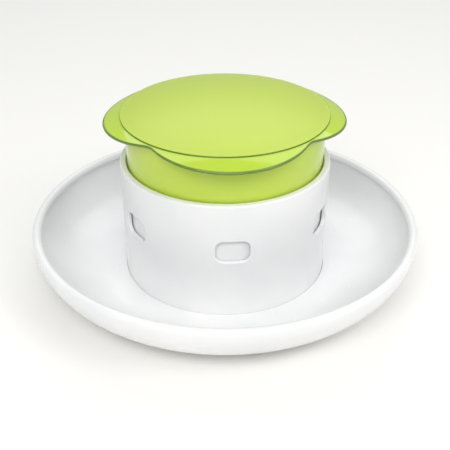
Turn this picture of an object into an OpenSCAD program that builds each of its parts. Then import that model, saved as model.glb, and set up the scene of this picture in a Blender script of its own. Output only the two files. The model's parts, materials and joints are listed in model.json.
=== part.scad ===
// Push-button treat dispenser for pets.
// A round white tray carries a round housing with six outlets. A drum of treats slides in the
// housing on a spring. Pressing the cover lowers the drum until its windows meet the outlets,
// and treats roll out into the tray.
// +Z is up, and the origin is on the table under the middle of the tray. Sizes are in millimetres.

/* [Tray] */
// Diameter of the tray over its rim
tray_d = 270; // [240:5:320]
// Height of the rim above the table
tray_h = 41; // [36:1:55]
// Wall of the tray
tray_wall = 2.8; // [2.6:0.2:4]
// Diameter of the tray's flat underside
tray_flat_d = 174; // [170:2:200]
// Thickness of the rounded rim
rim_d = 6; // [4.6:0.2:7]

/* [Feet] */
// Diameter of each rubber foot
foot_d = 18; // [12:1:22]
// How far a foot stands out below the tray
foot_lift = 1.6; // [1:0.2:3]
// Depth of the socket that a foot is glued into
foot_socket = 0.8; // [0.4:0.2:1]
// Space between a foot and the edge of the flat underside
foot_edge = 3; // [2:1:8]

/* [Housing] */
// Outer diameter of the round housing
housing_d = 143.2; // [130:0.4:146]
// Wall of the housing
housing_wall = 2.6; // [2:0.2:3.4]
// Height of the housing's top above the table
housing_top = 86.3; // [80:0.1:110]
// Depth of the groove in the tray floor that the housing stands in
housing_groove = 0.8; // [0.4:0.2:1.2]
// How far the lip at the top stands inwards
lip_w = 1.5; // [1.2:0.1:2]
// Thickness of the lip
lip_t = 2.4; // [1.6:0.2:4]

/* [Outlets] */
// Width of an outlet
outlet_w = 22; // [14:1:28]
// Height of an outlet
outlet_h = 15; // [11:1:15]
// Corner radius of an outlet
outlet_corner = 5; // [2:0.5:5]

/* [Press] */
// Travel of the cover and drum
press_travel = 15; // [15:1:18]
// Radial clearance between drum and housing
drum_gap = 0.6; // [0.3:0.1:1]
// Gap at a stop, or between pieces that only rest on each other
rest_gap = 0.3; // [0.1:0.1:0.5]
// Wall of the drum
drum_wall = 2.4; // [2:0.2:3]
// Depth that the green ring sits in the drum
ring_seat = 4; // [3:0.5:6]
// How far the drum covers the housing below an outlet
drum_overlap = 3; // [2:0.5:5]
// Slope of the treat floor, in degrees
floor_slope = 34; // [25:1:40]
// How far the drum's windows lie below the ledge that carries the green ring
window_drop = 2.5; // [0.5:0.5:6]
// Thickness of the treat floor
floor_t = 2.2; // [1.8:0.2:3]
// Width of the flat edge round the treat floor
floor_edge = 8; // [7:0.5:10]
// Diameter of the spring tower inside the treats
tower_d = 78; // [70:1:84]
// Height of the spring tower above the flat edge of the floor
tower_h = 50; // [44:1:54]

/* [Ring and cover] */
// Height of the green ring
ring_h = 37; // [30:0.2:45]
// Wall of the green ring
ring_wall = 2.2; // [1.6:0.2:2.8]
// How much wider the ring is at its top than at its foot, in radius
ring_flare = 1.2; // [0.6:0.1:1.6]
// Clearance between the ring and the lip
ring_gap = 0.4; // [0.3:0.1:0.8]
// Radius of the sphere that the cover is part of
dome_r = 220; // [180:2:280]
// Thickness of the cover
cover_t = 2.6; // [1.8:0.2:3.2]
// Diameter of the raised middle of the cover
disc_d = 138.8; // [137:0.2:142]
// Height of the step round the raised middle
disc_step = 1; // [0.4:0.2:1.4]
// Width of the cover over two opposite lobes
cover_w = 162; // [154:1:180]
// Depth of the cover's skirt inside the ring
skirt_h = 10; // [8:0.5:14]
// Wall of the skirt
skirt_wall = 2.2; // [1.8:0.2:3]
// Height of the seal on the skirt
seal_h = 2.4; // [1.6:0.2:3]
// How deep the seal sits in the skirt
seal_depth = 0.9; // [0.5:0.1:1.1]

/* [Guide and spring] */
// Diameter of the guide post
post_d = 30; // [24:1:34]
// Wall of the post and of the tube that slides on it
post_wall = 2.4; // [2:0.2:3]
// Clearance between the post and the tube
guide_gap = 0.3; // [0.2:0.1:0.6]
// Thickness of the post's plate
plate_t = 2.5; // [2:0.5:4]
// Mean diameter of the spring
spring_d = 46; // [44:1:54]
// Diameter of the spring wire
wire_d = 2; // [1.4:0.1:2.4]
// Length of the spring with the cover up
spring_len = 48; // [44:1:52]
// Turns of the spring
spring_turns = 8; // [6:1:9]
// Thickness of the washer on the spring
washer_t = 1.2; // [0.8:0.2:2]
// Thickness of the rubber ring that the tube lands on
buffer_t = 1.8; // [1.2:0.2:3]

/* [Screws] */
// Diameter of the four housing screws
screw_d = 2.8; // [2.4:0.2:3.2]
// Diameter of their heads
screw_head_d = 6; // [5:0.2:6.4]
// Height of their heads
screw_head_h = 2; // [1.4:0.2:2.4]
// Radius of the circle of housing screws
screw_circle_r = 54; // [50:0.5:56]
// Height of the bosses on the tray floor
boss_h = 4.8; // [4:0.2:8]
// Space between a screw's tip and the end of its hole
tip_gap = 0.5; // [0.2:0.1:1]
// Diameter of the three drum screws
small_screw_d = 2.2; // [2:0.2:2.4]
// Diameter of their heads
small_head_d = 5; // [4:0.2:5.2]
// Height of their heads
small_head_h = 1.7; // [1.2:0.1:2]

/* [Hidden] */

$fn = 96;
white = "whitesmoke";
lime = "yellowgreen";
cut = 1;            // how far a cutting shape runs past what it cuts
screw_play = 0.1;   // radial play of a screw in its holes
outlet_n = 6;
front = -90;        // direction of the first outlet, and of one lobe
key_n = 3;
key_first = 0;      // direction of the first guide key, between two outlets
lobe_n = 4;
foot_n = 4;
screw_n = 4;
screw_first = 45;

// heights and radii of the tray
tray_r = tray_d / 2;
flat_r = tray_flat_d / 2;
rim_r = rim_d / 2;
under_z = foot_lift;
floor_z = under_z + tray_wall;
rim_z = tray_h - rim_r;
foot_circle_r = flat_r - foot_edge - foot_d / 2;
boss_top = floor_z + boss_h;
plate_top = boss_top + plate_t;
boss_wall = 2.4;
head_room = 0.4;
head_seat = boss_top - boss_wall;

// radii of the housing and of what slides in it
housing_r = housing_d / 2;
bore_r = housing_r - housing_wall;
lip_r = bore_r - lip_w;
lip_z = housing_top - lip_t;
drum_r = bore_r - drum_gap;
drum_in_r = drum_r - drum_wall;

// heights of the drum with the cover up, from its top down
drum_top = lip_z - rest_gap;
ring_z = drum_top - ring_seat;
ledge_t = 1.6;
ledge_w = 2.2;
window_top = ring_z - ledge_t - window_drop;
window_sill = window_top - outlet_h;
outlet_top = window_top - press_travel;
outlet_sill = outlet_top - outlet_h;
drum_z = outlet_sill - drum_overlap;

// guide keys in the housing, and their grooves in the drum
key_w = 3;
key_depth = 1.6;
key_play = 0.3;
groove_w = key_w + 2 * key_play;
groove_r = bore_r - key_depth - key_play;
key_z = drum_z - press_travel;
key_top = window_top - press_travel - rest_gap;

// bosses inside the housing end below the lowest place that the drum reaches
housing_boss_d = 10;
housing_boss_top = drum_z - press_travel - 2;
boss_roof = 1.6;
web_t = 3;

// the treat floor and its tower
floor_r = drum_in_r - 0.2;
slope_r = floor_r - floor_edge;
tower_r = tower_d / 2;
tower_wall = 2.2;
tower_top = window_sill + tower_h;
tower_round = 6;
ceiling_z = tower_top - tower_wall;
slope_drop = floor_t / cos(floor_slope);
mitre = (slope_drop - floor_t) / tan(floor_slope);

// the guide post, the tube on it and the spring round them
post_r = post_d / 2;
tube_in_r = post_r + guide_gap;
tube_r = tube_in_r + post_wall;
tube_z = plate_top + buffer_t + press_travel + rest_gap;
post_clear = 20;
post_top = ceiling_z - press_travel - post_clear;
spring_r = spring_d / 2;
wire_r = wire_d / 2;
seat_gap = 0.1;
washer_z = plate_top + spring_len;
rib_z = washer_z + washer_t;
rib_t = 1.6;
rib_n = 6;
plate_r = screw_circle_r + 8;

// drum screws stand in bosses against the drum wall
small_boss_r = 3.6;
small_boss_h = 12;
small_circle_r = drum_in_r - small_boss_r + 0.4;

// the ring leans outwards, and clears the lip at the lowest place of the cover
ring_top = ring_z + ring_h;
lip_share = (housing_top + press_travel - ring_z) / ring_h;
ring_foot_r = lip_r - ring_gap - ring_flare * lip_share;
ring_top_r = ring_foot_r + ring_flare;
rebate_r = ring_foot_r + ring_flare * ring_seat / ring_h + 0.15;

// the cover rests on the ring's top edge
disc_r = disc_d / 2;
lobe_tip_r = cover_w / 2;
dome_in_r = dome_r - cover_t;
dome_z = ring_top + rest_gap - sqrt(pow(dome_in_r, 2) - pow(ring_top_r, 2));
cover_top = dome_z + dome_r;
skirt_gap = 0.5;
skirt_z = ring_top - skirt_h;
skirt_r = ring_top_r - ring_flare * skirt_h / ring_h - ring_wall - skirt_gap;
seal_z = skirt_z + 2.2;
seal_stand = 0.3;

// a lobe is part of a circle through two notches on the disc's edge
lobe_cut_r = disc_r + 0.6;
lobe_step = 360 / lobe_n;
lobe_off = (pow(lobe_tip_r, 2) - pow(lobe_cut_r, 2))
    / (2 * (lobe_tip_r - lobe_cut_r * cos(lobe_step / 2)));

// height of the sloping floor at a radius
function slope_z(r) = window_sill + (slope_r - r) * tan(floor_slope);

// points of an ellipse's arc
function arc(c, a, b, from, to, n) =
    [for (i = [0:n]) let(t = from + (to - from) * i / n) [c[0] + a * cos(t), c[1] + b * sin(t)]];

// a tube standing on z
module tube(r_out, r_in, z, h) {
    translate([0, 0, z])
        difference() {
            cylinder(r = r_out, h = h);
            translate([0, 0, -cut]) cylinder(r = r_in, h = h + 2 * cut);
        }
}

// children copied round the axis
module around(n, first = 0) {
    for (i = [0:n - 1]) rotate(first + i * 360 / n) children();
}

// a round-cornered rectangle in the plane, standing on y = 0
module round_rect(w, h, r) {
    translate([-w / 2, r]) square([w, h - 2 * r]);
    translate([-w / 2 + r, 0]) square([w - 2 * r, h]);
    for (x = [-w / 2 + r, w / 2 - r], y = [r, h - r]) translate([x, y]) circle(r = r, $fn = 32);
}

// a round-cornered hole through a wall, along +X, with its sill at z
module wall_hole(w, h, r, z, from_r, to_r) {
    translate([from_r, 0, z]) rotate([90, 0, 90]) linear_extrude(to_r - from_r) round_rect(w, h, r);
}

// ---- the tray, and what is fixed to it ----

module tray_wall_outline() {
    steps = 24;
    outer = arc([flat_r, rim_z], tray_r - flat_r, rim_z - under_z, -90, 0, steps);
    inner = arc([flat_r, rim_z], tray_r - flat_r - tray_wall, rim_z - floor_z, 0, -90, steps);
    polygon(concat([[0, under_z]], outer, inner, [[0, floor_z]]));
}

module tray() {
    color(white) difference() {
        union() {
            rotate_extrude($fn = 180) {
                tray_wall_outline();
                translate([tray_r - rim_r, rim_z]) circle(r = rim_r, $fn = 48);
            }
            around(screw_n, screw_first) translate([screw_circle_r, 0, floor_z - cut])
                cylinder(d = screw_head_d + 2 * (head_room + boss_wall), h = boss_h + cut);
        }
        tube(housing_r + rest_gap / 2, bore_r - rest_gap / 2, floor_z - housing_groove, housing_groove + cut);
        around(foot_n, screw_first) translate([foot_circle_r, 0, under_z - cut])
            cylinder(d = foot_d + 0.2, h = foot_socket + cut);
        around(screw_n, screw_first) translate([screw_circle_r, 0, 0]) {
            cylinder(d = screw_head_d + 2 * head_room, h = head_seat);
            cylinder(d = screw_d + 2 * screw_play, h = boss_top + cut);
        }
    }
}

module foot(i) {
    edge = 1;
    color("dimgray") rotate(screw_first + i * 360 / foot_n) translate([foot_circle_r, 0, 0])
        rotate_extrude() polygon(concat([[0, 0]],
            arc([foot_d / 2 - edge, edge], edge, edge, -90, 0, 4),
            [[foot_d / 2, foot_lift + foot_socket], [0, foot_lift + foot_socket]]));
}

module housing_outline() {
    edge = 1.2;
    foot_z = floor_z - housing_groove;
    polygon(concat(
        [[bore_r, foot_z], [housing_r, foot_z]],
        arc([housing_r - edge, housing_top - edge], edge, edge, 0, 90, 5),
        arc([lip_r + edge / 2, housing_top - edge / 2], edge / 2, edge / 2, 90, 180, 4),
        [[lip_r, lip_z], [bore_r, lip_z]]));
}

module housing_boss() {
    translate([screw_circle_r, 0, plate_top])
        cylinder(d = housing_boss_d, h = housing_boss_top - plate_top);
    translate([screw_circle_r, -web_t / 2, plate_top])
        cube([bore_r - screw_circle_r + housing_wall / 2, web_t, housing_boss_top - plate_top]);
}

module housing() {
    color(white) difference() {
        union() {
            rotate_extrude($fn = 144) housing_outline();
            around(key_n, key_first) translate([bore_r - key_depth, -key_w / 2, key_z])
                cube([key_depth + housing_wall / 2, key_w, key_top - key_z]);
            around(screw_n, screw_first) housing_boss();
        }
        around(outlet_n, front)
            wall_hole(outlet_w, outlet_h, outlet_corner, outlet_sill, bore_r - 2 * cut, housing_r + 2 * cut);
        around(screw_n, screw_first) translate([screw_circle_r, 0, plate_top - cut])
            cylinder(d = screw_d + 2 * screw_play, h = housing_boss_top - boss_roof - plate_top + cut);
    }
}

module post_plate() {
    seat_wall = 1.6;
    color(white) difference() {
        union() {
            translate([0, 0, boss_top]) cylinder(r = plate_r, h = plate_t);
            translate([0, 0, boss_top]) cylinder(r = post_r, h = post_top - boss_top);
            tube(spring_r + wire_r + rest_gap + seat_wall, spring_r + wire_r + rest_gap, boss_top,
                 plate_t + wire_d);
        }
        translate([0, 0, boss_top - cut]) cylinder(r = post_r - post_wall, h = post_top - boss_top + 2 * cut);
        around(screw_n, screw_first) translate([screw_circle_r, 0, boss_top - cut])
            cylinder(d = screw_d + 2 * screw_play, h = plate_t + 2 * cut);
    }
}

module pan_screw(d, head_d, head_h, length) {
    slot_w = 0.8;
    difference() {
        union() {
            translate([0, 0, -head_h]) cylinder(d = head_d, h = head_h);
            cylinder(d = d, h = length);
        }
        for (a = [0, 90]) rotate(a) translate([-head_d / 4, -slot_w / 2, -head_h - cut])
            cube([head_d / 2, slot_w, head_h * 0.6 + cut]);
    }
}

module housing_screw(i) {
    color("silver") rotate(screw_first + i * 360 / screw_n) translate([screw_circle_r, 0, head_seat])
        pan_screw(screw_d, screw_head_d, screw_head_h, housing_boss_top - boss_roof - tip_gap - head_seat);
}

// ---- the spring and its seats ----

// height of the wire's centre after a share of the turns: the end turns lie close together
function coil_z(t) =
    let(pitch = wire_d + 0.6,
        low = plate_top + wire_r + seat_gap,
        high = washer_z - wire_r - seat_gap,
        rise = (high - low - 2 * pitch) / (spring_turns - 2))
    t < 1 ? low + pitch * t
        : t > spring_turns - 1 ? high - pitch * (spring_turns - t)
        : low + pitch + rise * (t - 1);

// a closed skin over rings of points
module skin(rings) {
    n = len(rings[0]);
    last = len(rings) - 1;
    points = [for (ring = rings) each ring];
    sides = [for (i = [0:last - 1], j = [0:n - 1]) let(k = (j + 1) % n)
        each [[i * n + j, i * n + k, (i + 1) * n + k], [i * n + j, (i + 1) * n + k, (i + 1) * n + j]]];
    ends = [for (j = [1:n - 2]) each [[0, j + 1, j], [last * n, last * n + j, last * n + j + 1]]];
    polyhedron(points, concat(sides, ends), convexity = 10);
}

module main_spring() {
    steps = 16;
    sides = 6;
    rings = [for (i = [0:spring_turns * steps]) let(t = i / steps, a = 360 * t, z = coil_z(t))
        [for (j = [0:sides - 1]) let(b = -360 * j / sides, r = spring_r + wire_r * cos(b))
            [r * cos(a), r * sin(a), z + wire_r * sin(b)]]];
    least = min([for (i = [0:(spring_turns - 1) * steps])
        coil_z(i / steps + 1) - coil_z(i / steps) - wire_d]);
    echo(least_gap_between_turns = least);
    color("silver") skin(rings);
}

module spring_washer() {
    color("silver") tube(spring_r + wire_r + 2, tube_r + rest_gap, washer_z, washer_t);
}

module buffer_ring() {
    color("dimgray") tube(tube_r, post_r + 0.1, plate_top, buffer_t);
}

// ---- the treat drum, which slides with the cover ----

module drum_outline() {
    polygon([
        [drum_in_r, drum_z], [drum_r, drum_z], [drum_r, drum_top], [rebate_r, drum_top],
        [rebate_r, ring_z], [drum_in_r - ledge_w, ring_z], [drum_in_r - ledge_w, ring_z - ledge_t],
        [drum_in_r, ring_z - ledge_t]]);
}

module drum() {
    color(white) difference() {
        union() {
            rotate_extrude($fn = 144) drum_outline();
            around(key_n, key_first) translate([small_circle_r, 0, window_sill])
                cylinder(r = small_boss_r, h = small_boss_h);
        }
        around(outlet_n, front)
            wall_hole(outlet_w, outlet_h, outlet_corner, window_sill, drum_in_r - 2 * cut, drum_r + cut);
        around(key_n, key_first) translate([groove_r, -groove_w / 2, drum_z - cut])
            cube([drum_r, groove_w, window_top - drum_z + cut]);
        around(key_n, key_first) translate([small_circle_r, 0, window_sill - cut])
            cylinder(d = small_screw_d + 2 * screw_play, h = small_boss_h - boss_roof + cut);
    }
}

module treat_floor_outline() {
    inner_r = tower_r - tower_wall;
    polygon(concat(
        [[inner_r, slope_z(inner_r) - slope_drop], [slope_r - mitre, window_sill - floor_t],
         [floor_r, window_sill - floor_t], [floor_r, window_sill],
         [slope_r, window_sill], [tower_r, slope_z(tower_r)]],
        arc([tower_r - tower_round, tower_top - tower_round], tower_round, tower_round, 0, 90, 8),
        [[0, tower_top], [0, ceiling_z], [inner_r - tower_round, ceiling_z],
         [inner_r, ceiling_z - tower_round]]));
}

// a rib from the guide tube to the tower's wall, over the spring
module floor_rib() {
    from_r = tube_r - post_wall / 2;
    to_r = tower_r - tower_wall / 2;
    to_z = ceiling_z + tower_wall / 2;
    translate([0, rib_t / 2, 0]) rotate([90, 0, 0]) linear_extrude(rib_t)
        polygon([[from_r, rib_z], [to_r, rib_z], [to_r, ceiling_z - tower_round],
                 [to_r - tower_round, to_z], [from_r, to_z]]);
}

module treat_floor() {
    color(white) difference() {
        union() {
            rotate_extrude($fn = 96) treat_floor_outline();
            tube(tube_r, tube_in_r, tube_z, ceiling_z + tower_wall / 2 - tube_z);
            around(rib_n) floor_rib();
        }
        around(key_n, key_first) translate([small_circle_r, 0, window_sill - floor_t - cut])
            cylinder(d = small_screw_d + 2 * screw_play, h = floor_t + 2 * cut);
    }
}

module drum_screw(i) {
    color("silver") rotate(key_first + i * 360 / key_n)
        translate([small_circle_r, 0, window_sill - floor_t])
        pan_screw(small_screw_d, small_head_d, small_head_h, floor_t + small_boss_h - boss_roof - tip_gap);
}

module view_ring() {
    edge = 0.6;
    color(lime) rotate_extrude($fn = 144) polygon(concat(
        [[ring_foot_r - ring_wall, ring_z], [ring_foot_r, ring_z]],
        arc([ring_top_r - edge, ring_top - edge], edge, edge, 0, 90, 4),
        [[ring_top_r - ring_wall, ring_top]]));
}

// ---- the cover, which lifts off the ring ----

module lobes() {
    around(lobe_n, front) translate([lobe_off, 0]) circle(r = lobe_tip_r - lobe_off, $fn = 96);
}

// the part of a ball above z, over a flat outline
module dome(r, lift) {
    intersection() {
        translate([0, 0, dome_z + lift]) sphere(r = r, $fn = 180);
        translate([0, 0, skirt_z]) linear_extrude(cover_top + cut - skirt_z) children();
    }
}

module cover() {
    color(lime) difference() {
        union() {
            dome(dome_r, -disc_step) lobes();
            dome(dome_r, 0) circle(r = disc_r, $fn = 144);
        }
        difference() {
            translate([0, 0, dome_z]) sphere(r = dome_in_r, $fn = 180);
            difference() {
                translate([0, 0, skirt_z]) cylinder(r = skirt_r, h = cover_top - skirt_z, $fn = 144);
                translate([0, 0, skirt_z - cut])
                    cylinder(r = skirt_r - skirt_wall, h = cover_top - skirt_z + 2 * cut, $fn = 144);
            }
        }
        tube(skirt_r + cut, skirt_r - seal_depth, seal_z, seal_h);
    }
}

module cover_seal() {
    color("whitesmoke") tube(skirt_r + seal_stand, skirt_r - seal_depth + 0.05, seal_z + 0.1, seal_h - 0.2);
}

tray();
foot(0);  // foot_1
foot(1);  // foot_2
foot(2);  // foot_3
foot(3);  // foot_4
housing();
post_plate();
housing_screw(0);  // housing_screw_1
housing_screw(1);  // housing_screw_2
housing_screw(2);  // housing_screw_3
housing_screw(3);  // housing_screw_4
main_spring();
spring_washer();
buffer_ring();
drum();
treat_floor();
drum_screw(0);  // drum_screw_1
drum_screw(1);  // drum_screw_2
drum_screw(2);  // drum_screw_3
view_ring();
cover();
cover_seal();
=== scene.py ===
"""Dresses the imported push-button treat dispenser.

A round white tray carries a round housing with six outlets. A drum slides in the housing on a
spring, and a lime ring and cover stand on the drum. Sizes here are in millimetres and repeat those
of the part's source; objects are made in metres, where the CAD solids are.
"""

import json
import logging
import math
from collections.abc import Callable, Sequence
from dataclasses import dataclass, field
from enum import Enum

import bmesh
import bpy
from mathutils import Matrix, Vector

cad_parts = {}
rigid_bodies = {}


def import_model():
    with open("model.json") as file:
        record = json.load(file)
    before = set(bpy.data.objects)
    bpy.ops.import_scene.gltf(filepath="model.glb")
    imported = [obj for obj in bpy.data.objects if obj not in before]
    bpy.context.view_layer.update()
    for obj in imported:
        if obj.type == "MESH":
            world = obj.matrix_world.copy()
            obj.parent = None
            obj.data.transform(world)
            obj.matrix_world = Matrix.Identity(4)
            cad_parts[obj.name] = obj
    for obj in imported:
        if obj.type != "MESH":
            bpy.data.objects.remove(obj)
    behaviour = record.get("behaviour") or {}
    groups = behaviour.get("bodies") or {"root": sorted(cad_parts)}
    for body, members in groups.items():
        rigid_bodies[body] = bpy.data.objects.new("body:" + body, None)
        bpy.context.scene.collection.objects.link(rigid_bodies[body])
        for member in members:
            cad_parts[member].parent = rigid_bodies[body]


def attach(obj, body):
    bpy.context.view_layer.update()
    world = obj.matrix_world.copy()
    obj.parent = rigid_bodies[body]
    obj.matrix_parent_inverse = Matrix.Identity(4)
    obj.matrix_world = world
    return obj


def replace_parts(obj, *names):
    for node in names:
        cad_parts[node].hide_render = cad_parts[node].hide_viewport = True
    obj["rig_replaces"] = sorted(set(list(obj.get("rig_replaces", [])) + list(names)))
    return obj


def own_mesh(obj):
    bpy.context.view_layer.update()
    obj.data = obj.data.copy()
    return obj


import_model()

LOG = logging.getLogger("treat_dispenser")
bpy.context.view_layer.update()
MM = 0.001
TURN = 2 * math.pi
FRONT = -TURN / 4  # direction of the first outlet and of one lobe
TINY = 1e-6
SAME = 0.002  # points nearer to each other than this, in millimetres, are merged
SHARP = math.radians(38)  # edges that turn more than this stay sharp
BITE = 1.0  # how far a cutting shape, or a boss that is added, reaches past the wall it meets
LONG = 4  # a straight over so many margins long gets a point near each end
HALVINGS = 40  # of the range in which an angle is looked for; a millionth of a millionth is left
NEARBY = 1e-4  # step, as an angle, along a curve whose direction is looked for
PAINTED_EDGE_SHADE = "painted_edge_shade"  # how much painted edge shade each point of a tinted piece has, from 0 to 1: a dark colour painted where the wall is seen edge on

Flat = tuple[float, float]
Point = tuple[float, float, float]

# Where a pattern of noise is cut off at its lower and its upper end.
WHOLE: Flat = (0.0, 1.0)
SOFT: Flat = (0.3, 0.7)
BROKEN: Flat = (0.35, 0.7)
AREAS: Flat = (0.42, 0.62)
PEAKS: Flat = (0.66, 0.78)


class Body(Enum):
    """The bodies that pieces ride on."""

    BASE = "base"
    DRUM = "press_drum"
    COVER = "cover"


class Slot(Enum):
    """The record's material slots."""

    WHITE = "white_plastic"
    LIME = "lime_plastic"
    RUBBER = "rubber"
    SILICONE = "seal_silicone"
    WIRE = "spring_steel"
    ZINC = "screw_steel"


# ---------------------------------------------------------------- nodes


def add_node(tree: bpy.types.NodeTree, kind: str, inputs: dict | None = None, **settings) -> bpy.types.Node:
    """Adds a node to a tree.

    Args:
        tree: The shader or geometry tree.
        kind: The node's type.
        inputs: A value, a socket or a node for each input's name or number. A socket is linked, and so
            is a node's first output.
        **settings: Properties of the node.

    Returns:
        The node.
    """
    node = tree.nodes.new(kind)
    for name, value in settings.items():
        setattr(node, name, value)
    for key, value in (inputs or {}).items():
        if isinstance(value, bpy.types.Node):
            value = next(socket for socket in value.outputs if socket.enabled)
        if isinstance(value, bpy.types.NodeSocket):
            tree.links.new(value, node.inputs[key])
        else:
            node.inputs[key].default_value = value
    return node


def linear(code: str) -> tuple[float, float, float, float]:
    """Turns an sRGB hex value into a linear colour.

    Args:
        code: Such as "#F2F3F5".

    Returns:
        Red, green, blue and 1.
    """
    parts = [int(code[i : i + 2], 16) / 255 for i in (1, 3, 5)]
    red, green, blue = (v / 12.92 if v <= 0.04045 else ((v + 0.055) / 1.055) ** 2.4 for v in parts)
    return red, green, blue, 1.0


def patches(
    tree: bpy.types.NodeTree,
    place: bpy.types.NodeSocket | bpy.types.Node,
    size: float,
    span: Flat = (0.0, 1.0),
    cut: Flat = SOFT,
    detail: float = 2.0,
) -> bpy.types.Node:
    """Adds soft patches: noise at a real size, cut off at both ends and stretched to a span.

    Args:
        tree: The shader tree.
        place: Object coordinates.
        size: Size of a patch in millimetres.
        span: What the patches have at the lower and the upper cut.
        cut: Where the noise is cut off.
        detail: Octaves of the noise.

    Returns:
        The last node.
    """
    grown = {"Vector": place, "Scale": 1 / (size * MM), "Detail": detail}
    cloud = add_node(tree, "ShaderNodeTexNoise", grown)
    ends = {"From Min": cut[0], "From Max": cut[1], "To Min": span[0], "To Max": span[1]}
    return add_node(tree, "ShaderNodeMapRange", {"Value": cloud, **ends})


# ---------------------------------------------------------------- finishes


@dataclass(frozen=True)
class Finish:
    """What every finish has: a name and the record's slot."""

    name: str
    slot: Slot

    def material(self) -> bpy.types.Material:
        """Gives the finish's material, which is made on first use.

        Returns:
            The material.
        """
        found = bpy.data.materials.get(self.name)
        if found:
            return found
        made = bpy.data.materials.new(self.name)
        made.use_nodes = True
        tree = made.node_tree
        tree.nodes.clear()
        place = add_node(tree, "ShaderNodeTexCoord").outputs["Object"]
        add_node(tree, "ShaderNodeOutputMaterial", self.wire(tree, place))
        return made

    def wire(self, tree: bpy.types.NodeTree, place: bpy.types.NodeSocket) -> dict[str, bpy.types.Node]:
        """Adds the finish's nodes; each finish has its own.

        Args:
            tree: The material's tree.
            place: Object coordinates.

        Returns:
            The node for each input of the material's output.
        """
        raise NotImplementedError


@dataclass(frozen=True)
class MouldedAbs(Finish):
    """ABS, moulded in a polished tool: white, glossy, with a faint orange peel.

    A hand that wipes the tray leaves hair scratches, so there the gloss is broken a little. Patches,
    peel and hair are in millimetres.
    """

    name: str = "white_moulded_abs"
    slot: Slot = Slot.WHITE
    light: str = "#EEEEEF"
    shade: str = "#E5E6E8"
    shade_patch: float = 55.0
    ior: float = 1.54
    gloss: float = 0.19
    dull: float = 0.27
    gloss_patch: float = 16.0
    peel: float = 2.4
    peel_deep: float = 0.02
    peel_strength: float = 0.12
    scratches: bool = False
    hair: float = 1.1
    hair_stretch: float = 20.0
    hair_turn: float = 0.5
    hair_dull: float = 0.16
    wiped_patch: float = 30.0

    def wire(self, tree: bpy.types.NodeTree, place: bpy.types.NodeSocket) -> dict[str, bpy.types.Node]:
        """Adds broad shade, broken gloss and orange peel.

        Args:
            tree: The material's tree.
            place: Object coordinates.

        Returns:
            The surface.
        """
        rough = patches(tree, place, self.gloss_patch, (self.gloss, self.dull), cut=BROKEN, detail=4)
        if self.scratches:
            # a scratch is a hair wide and is drawn about 1 mm wide and 20 mm long, so that it shows
            squeeze = (1.0, 1 / self.hair_stretch, 1.0)
            turned = {"Vector": place, "Rotation": (0, 0, self.hair_turn), "Scale": squeeze}
            long_ways = add_node(tree, "ShaderNodeMapping", turned)
            hair = patches(tree, long_ways, self.hair, (0, self.hair_dull), cut=PEAKS)
            wiped = patches(tree, place, self.wiped_patch, cut=AREAS)
            worn = add_node(tree, "ShaderNodeMath", {0: hair, 1: wiped}, operation="MULTIPLY")
            rough = add_node(tree, "ShaderNodeMath", {0: rough, 1: worn}, operation="ADD")
        broad = patches(tree, place, self.shade_patch, detail=3)
        tones = {"Factor": broad, "A": linear(self.light), "B": linear(self.shade)}
        skin = patches(tree, place, self.peel, cut=WHOLE, detail=1)
        peel = {"Height": skin, "Strength": self.peel_strength, "Distance": self.peel_deep * MM}
        inputs = {
            "Base Color": add_node(tree, "ShaderNodeMix", tones, data_type="RGBA"),
            "Roughness": rough,
            "IOR": self.ior,
            "Normal": add_node(tree, "ShaderNodeBump", peel),
        }
        return {"Surface": add_node(tree, "ShaderNodeBsdfPrincipled", inputs)}


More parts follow.
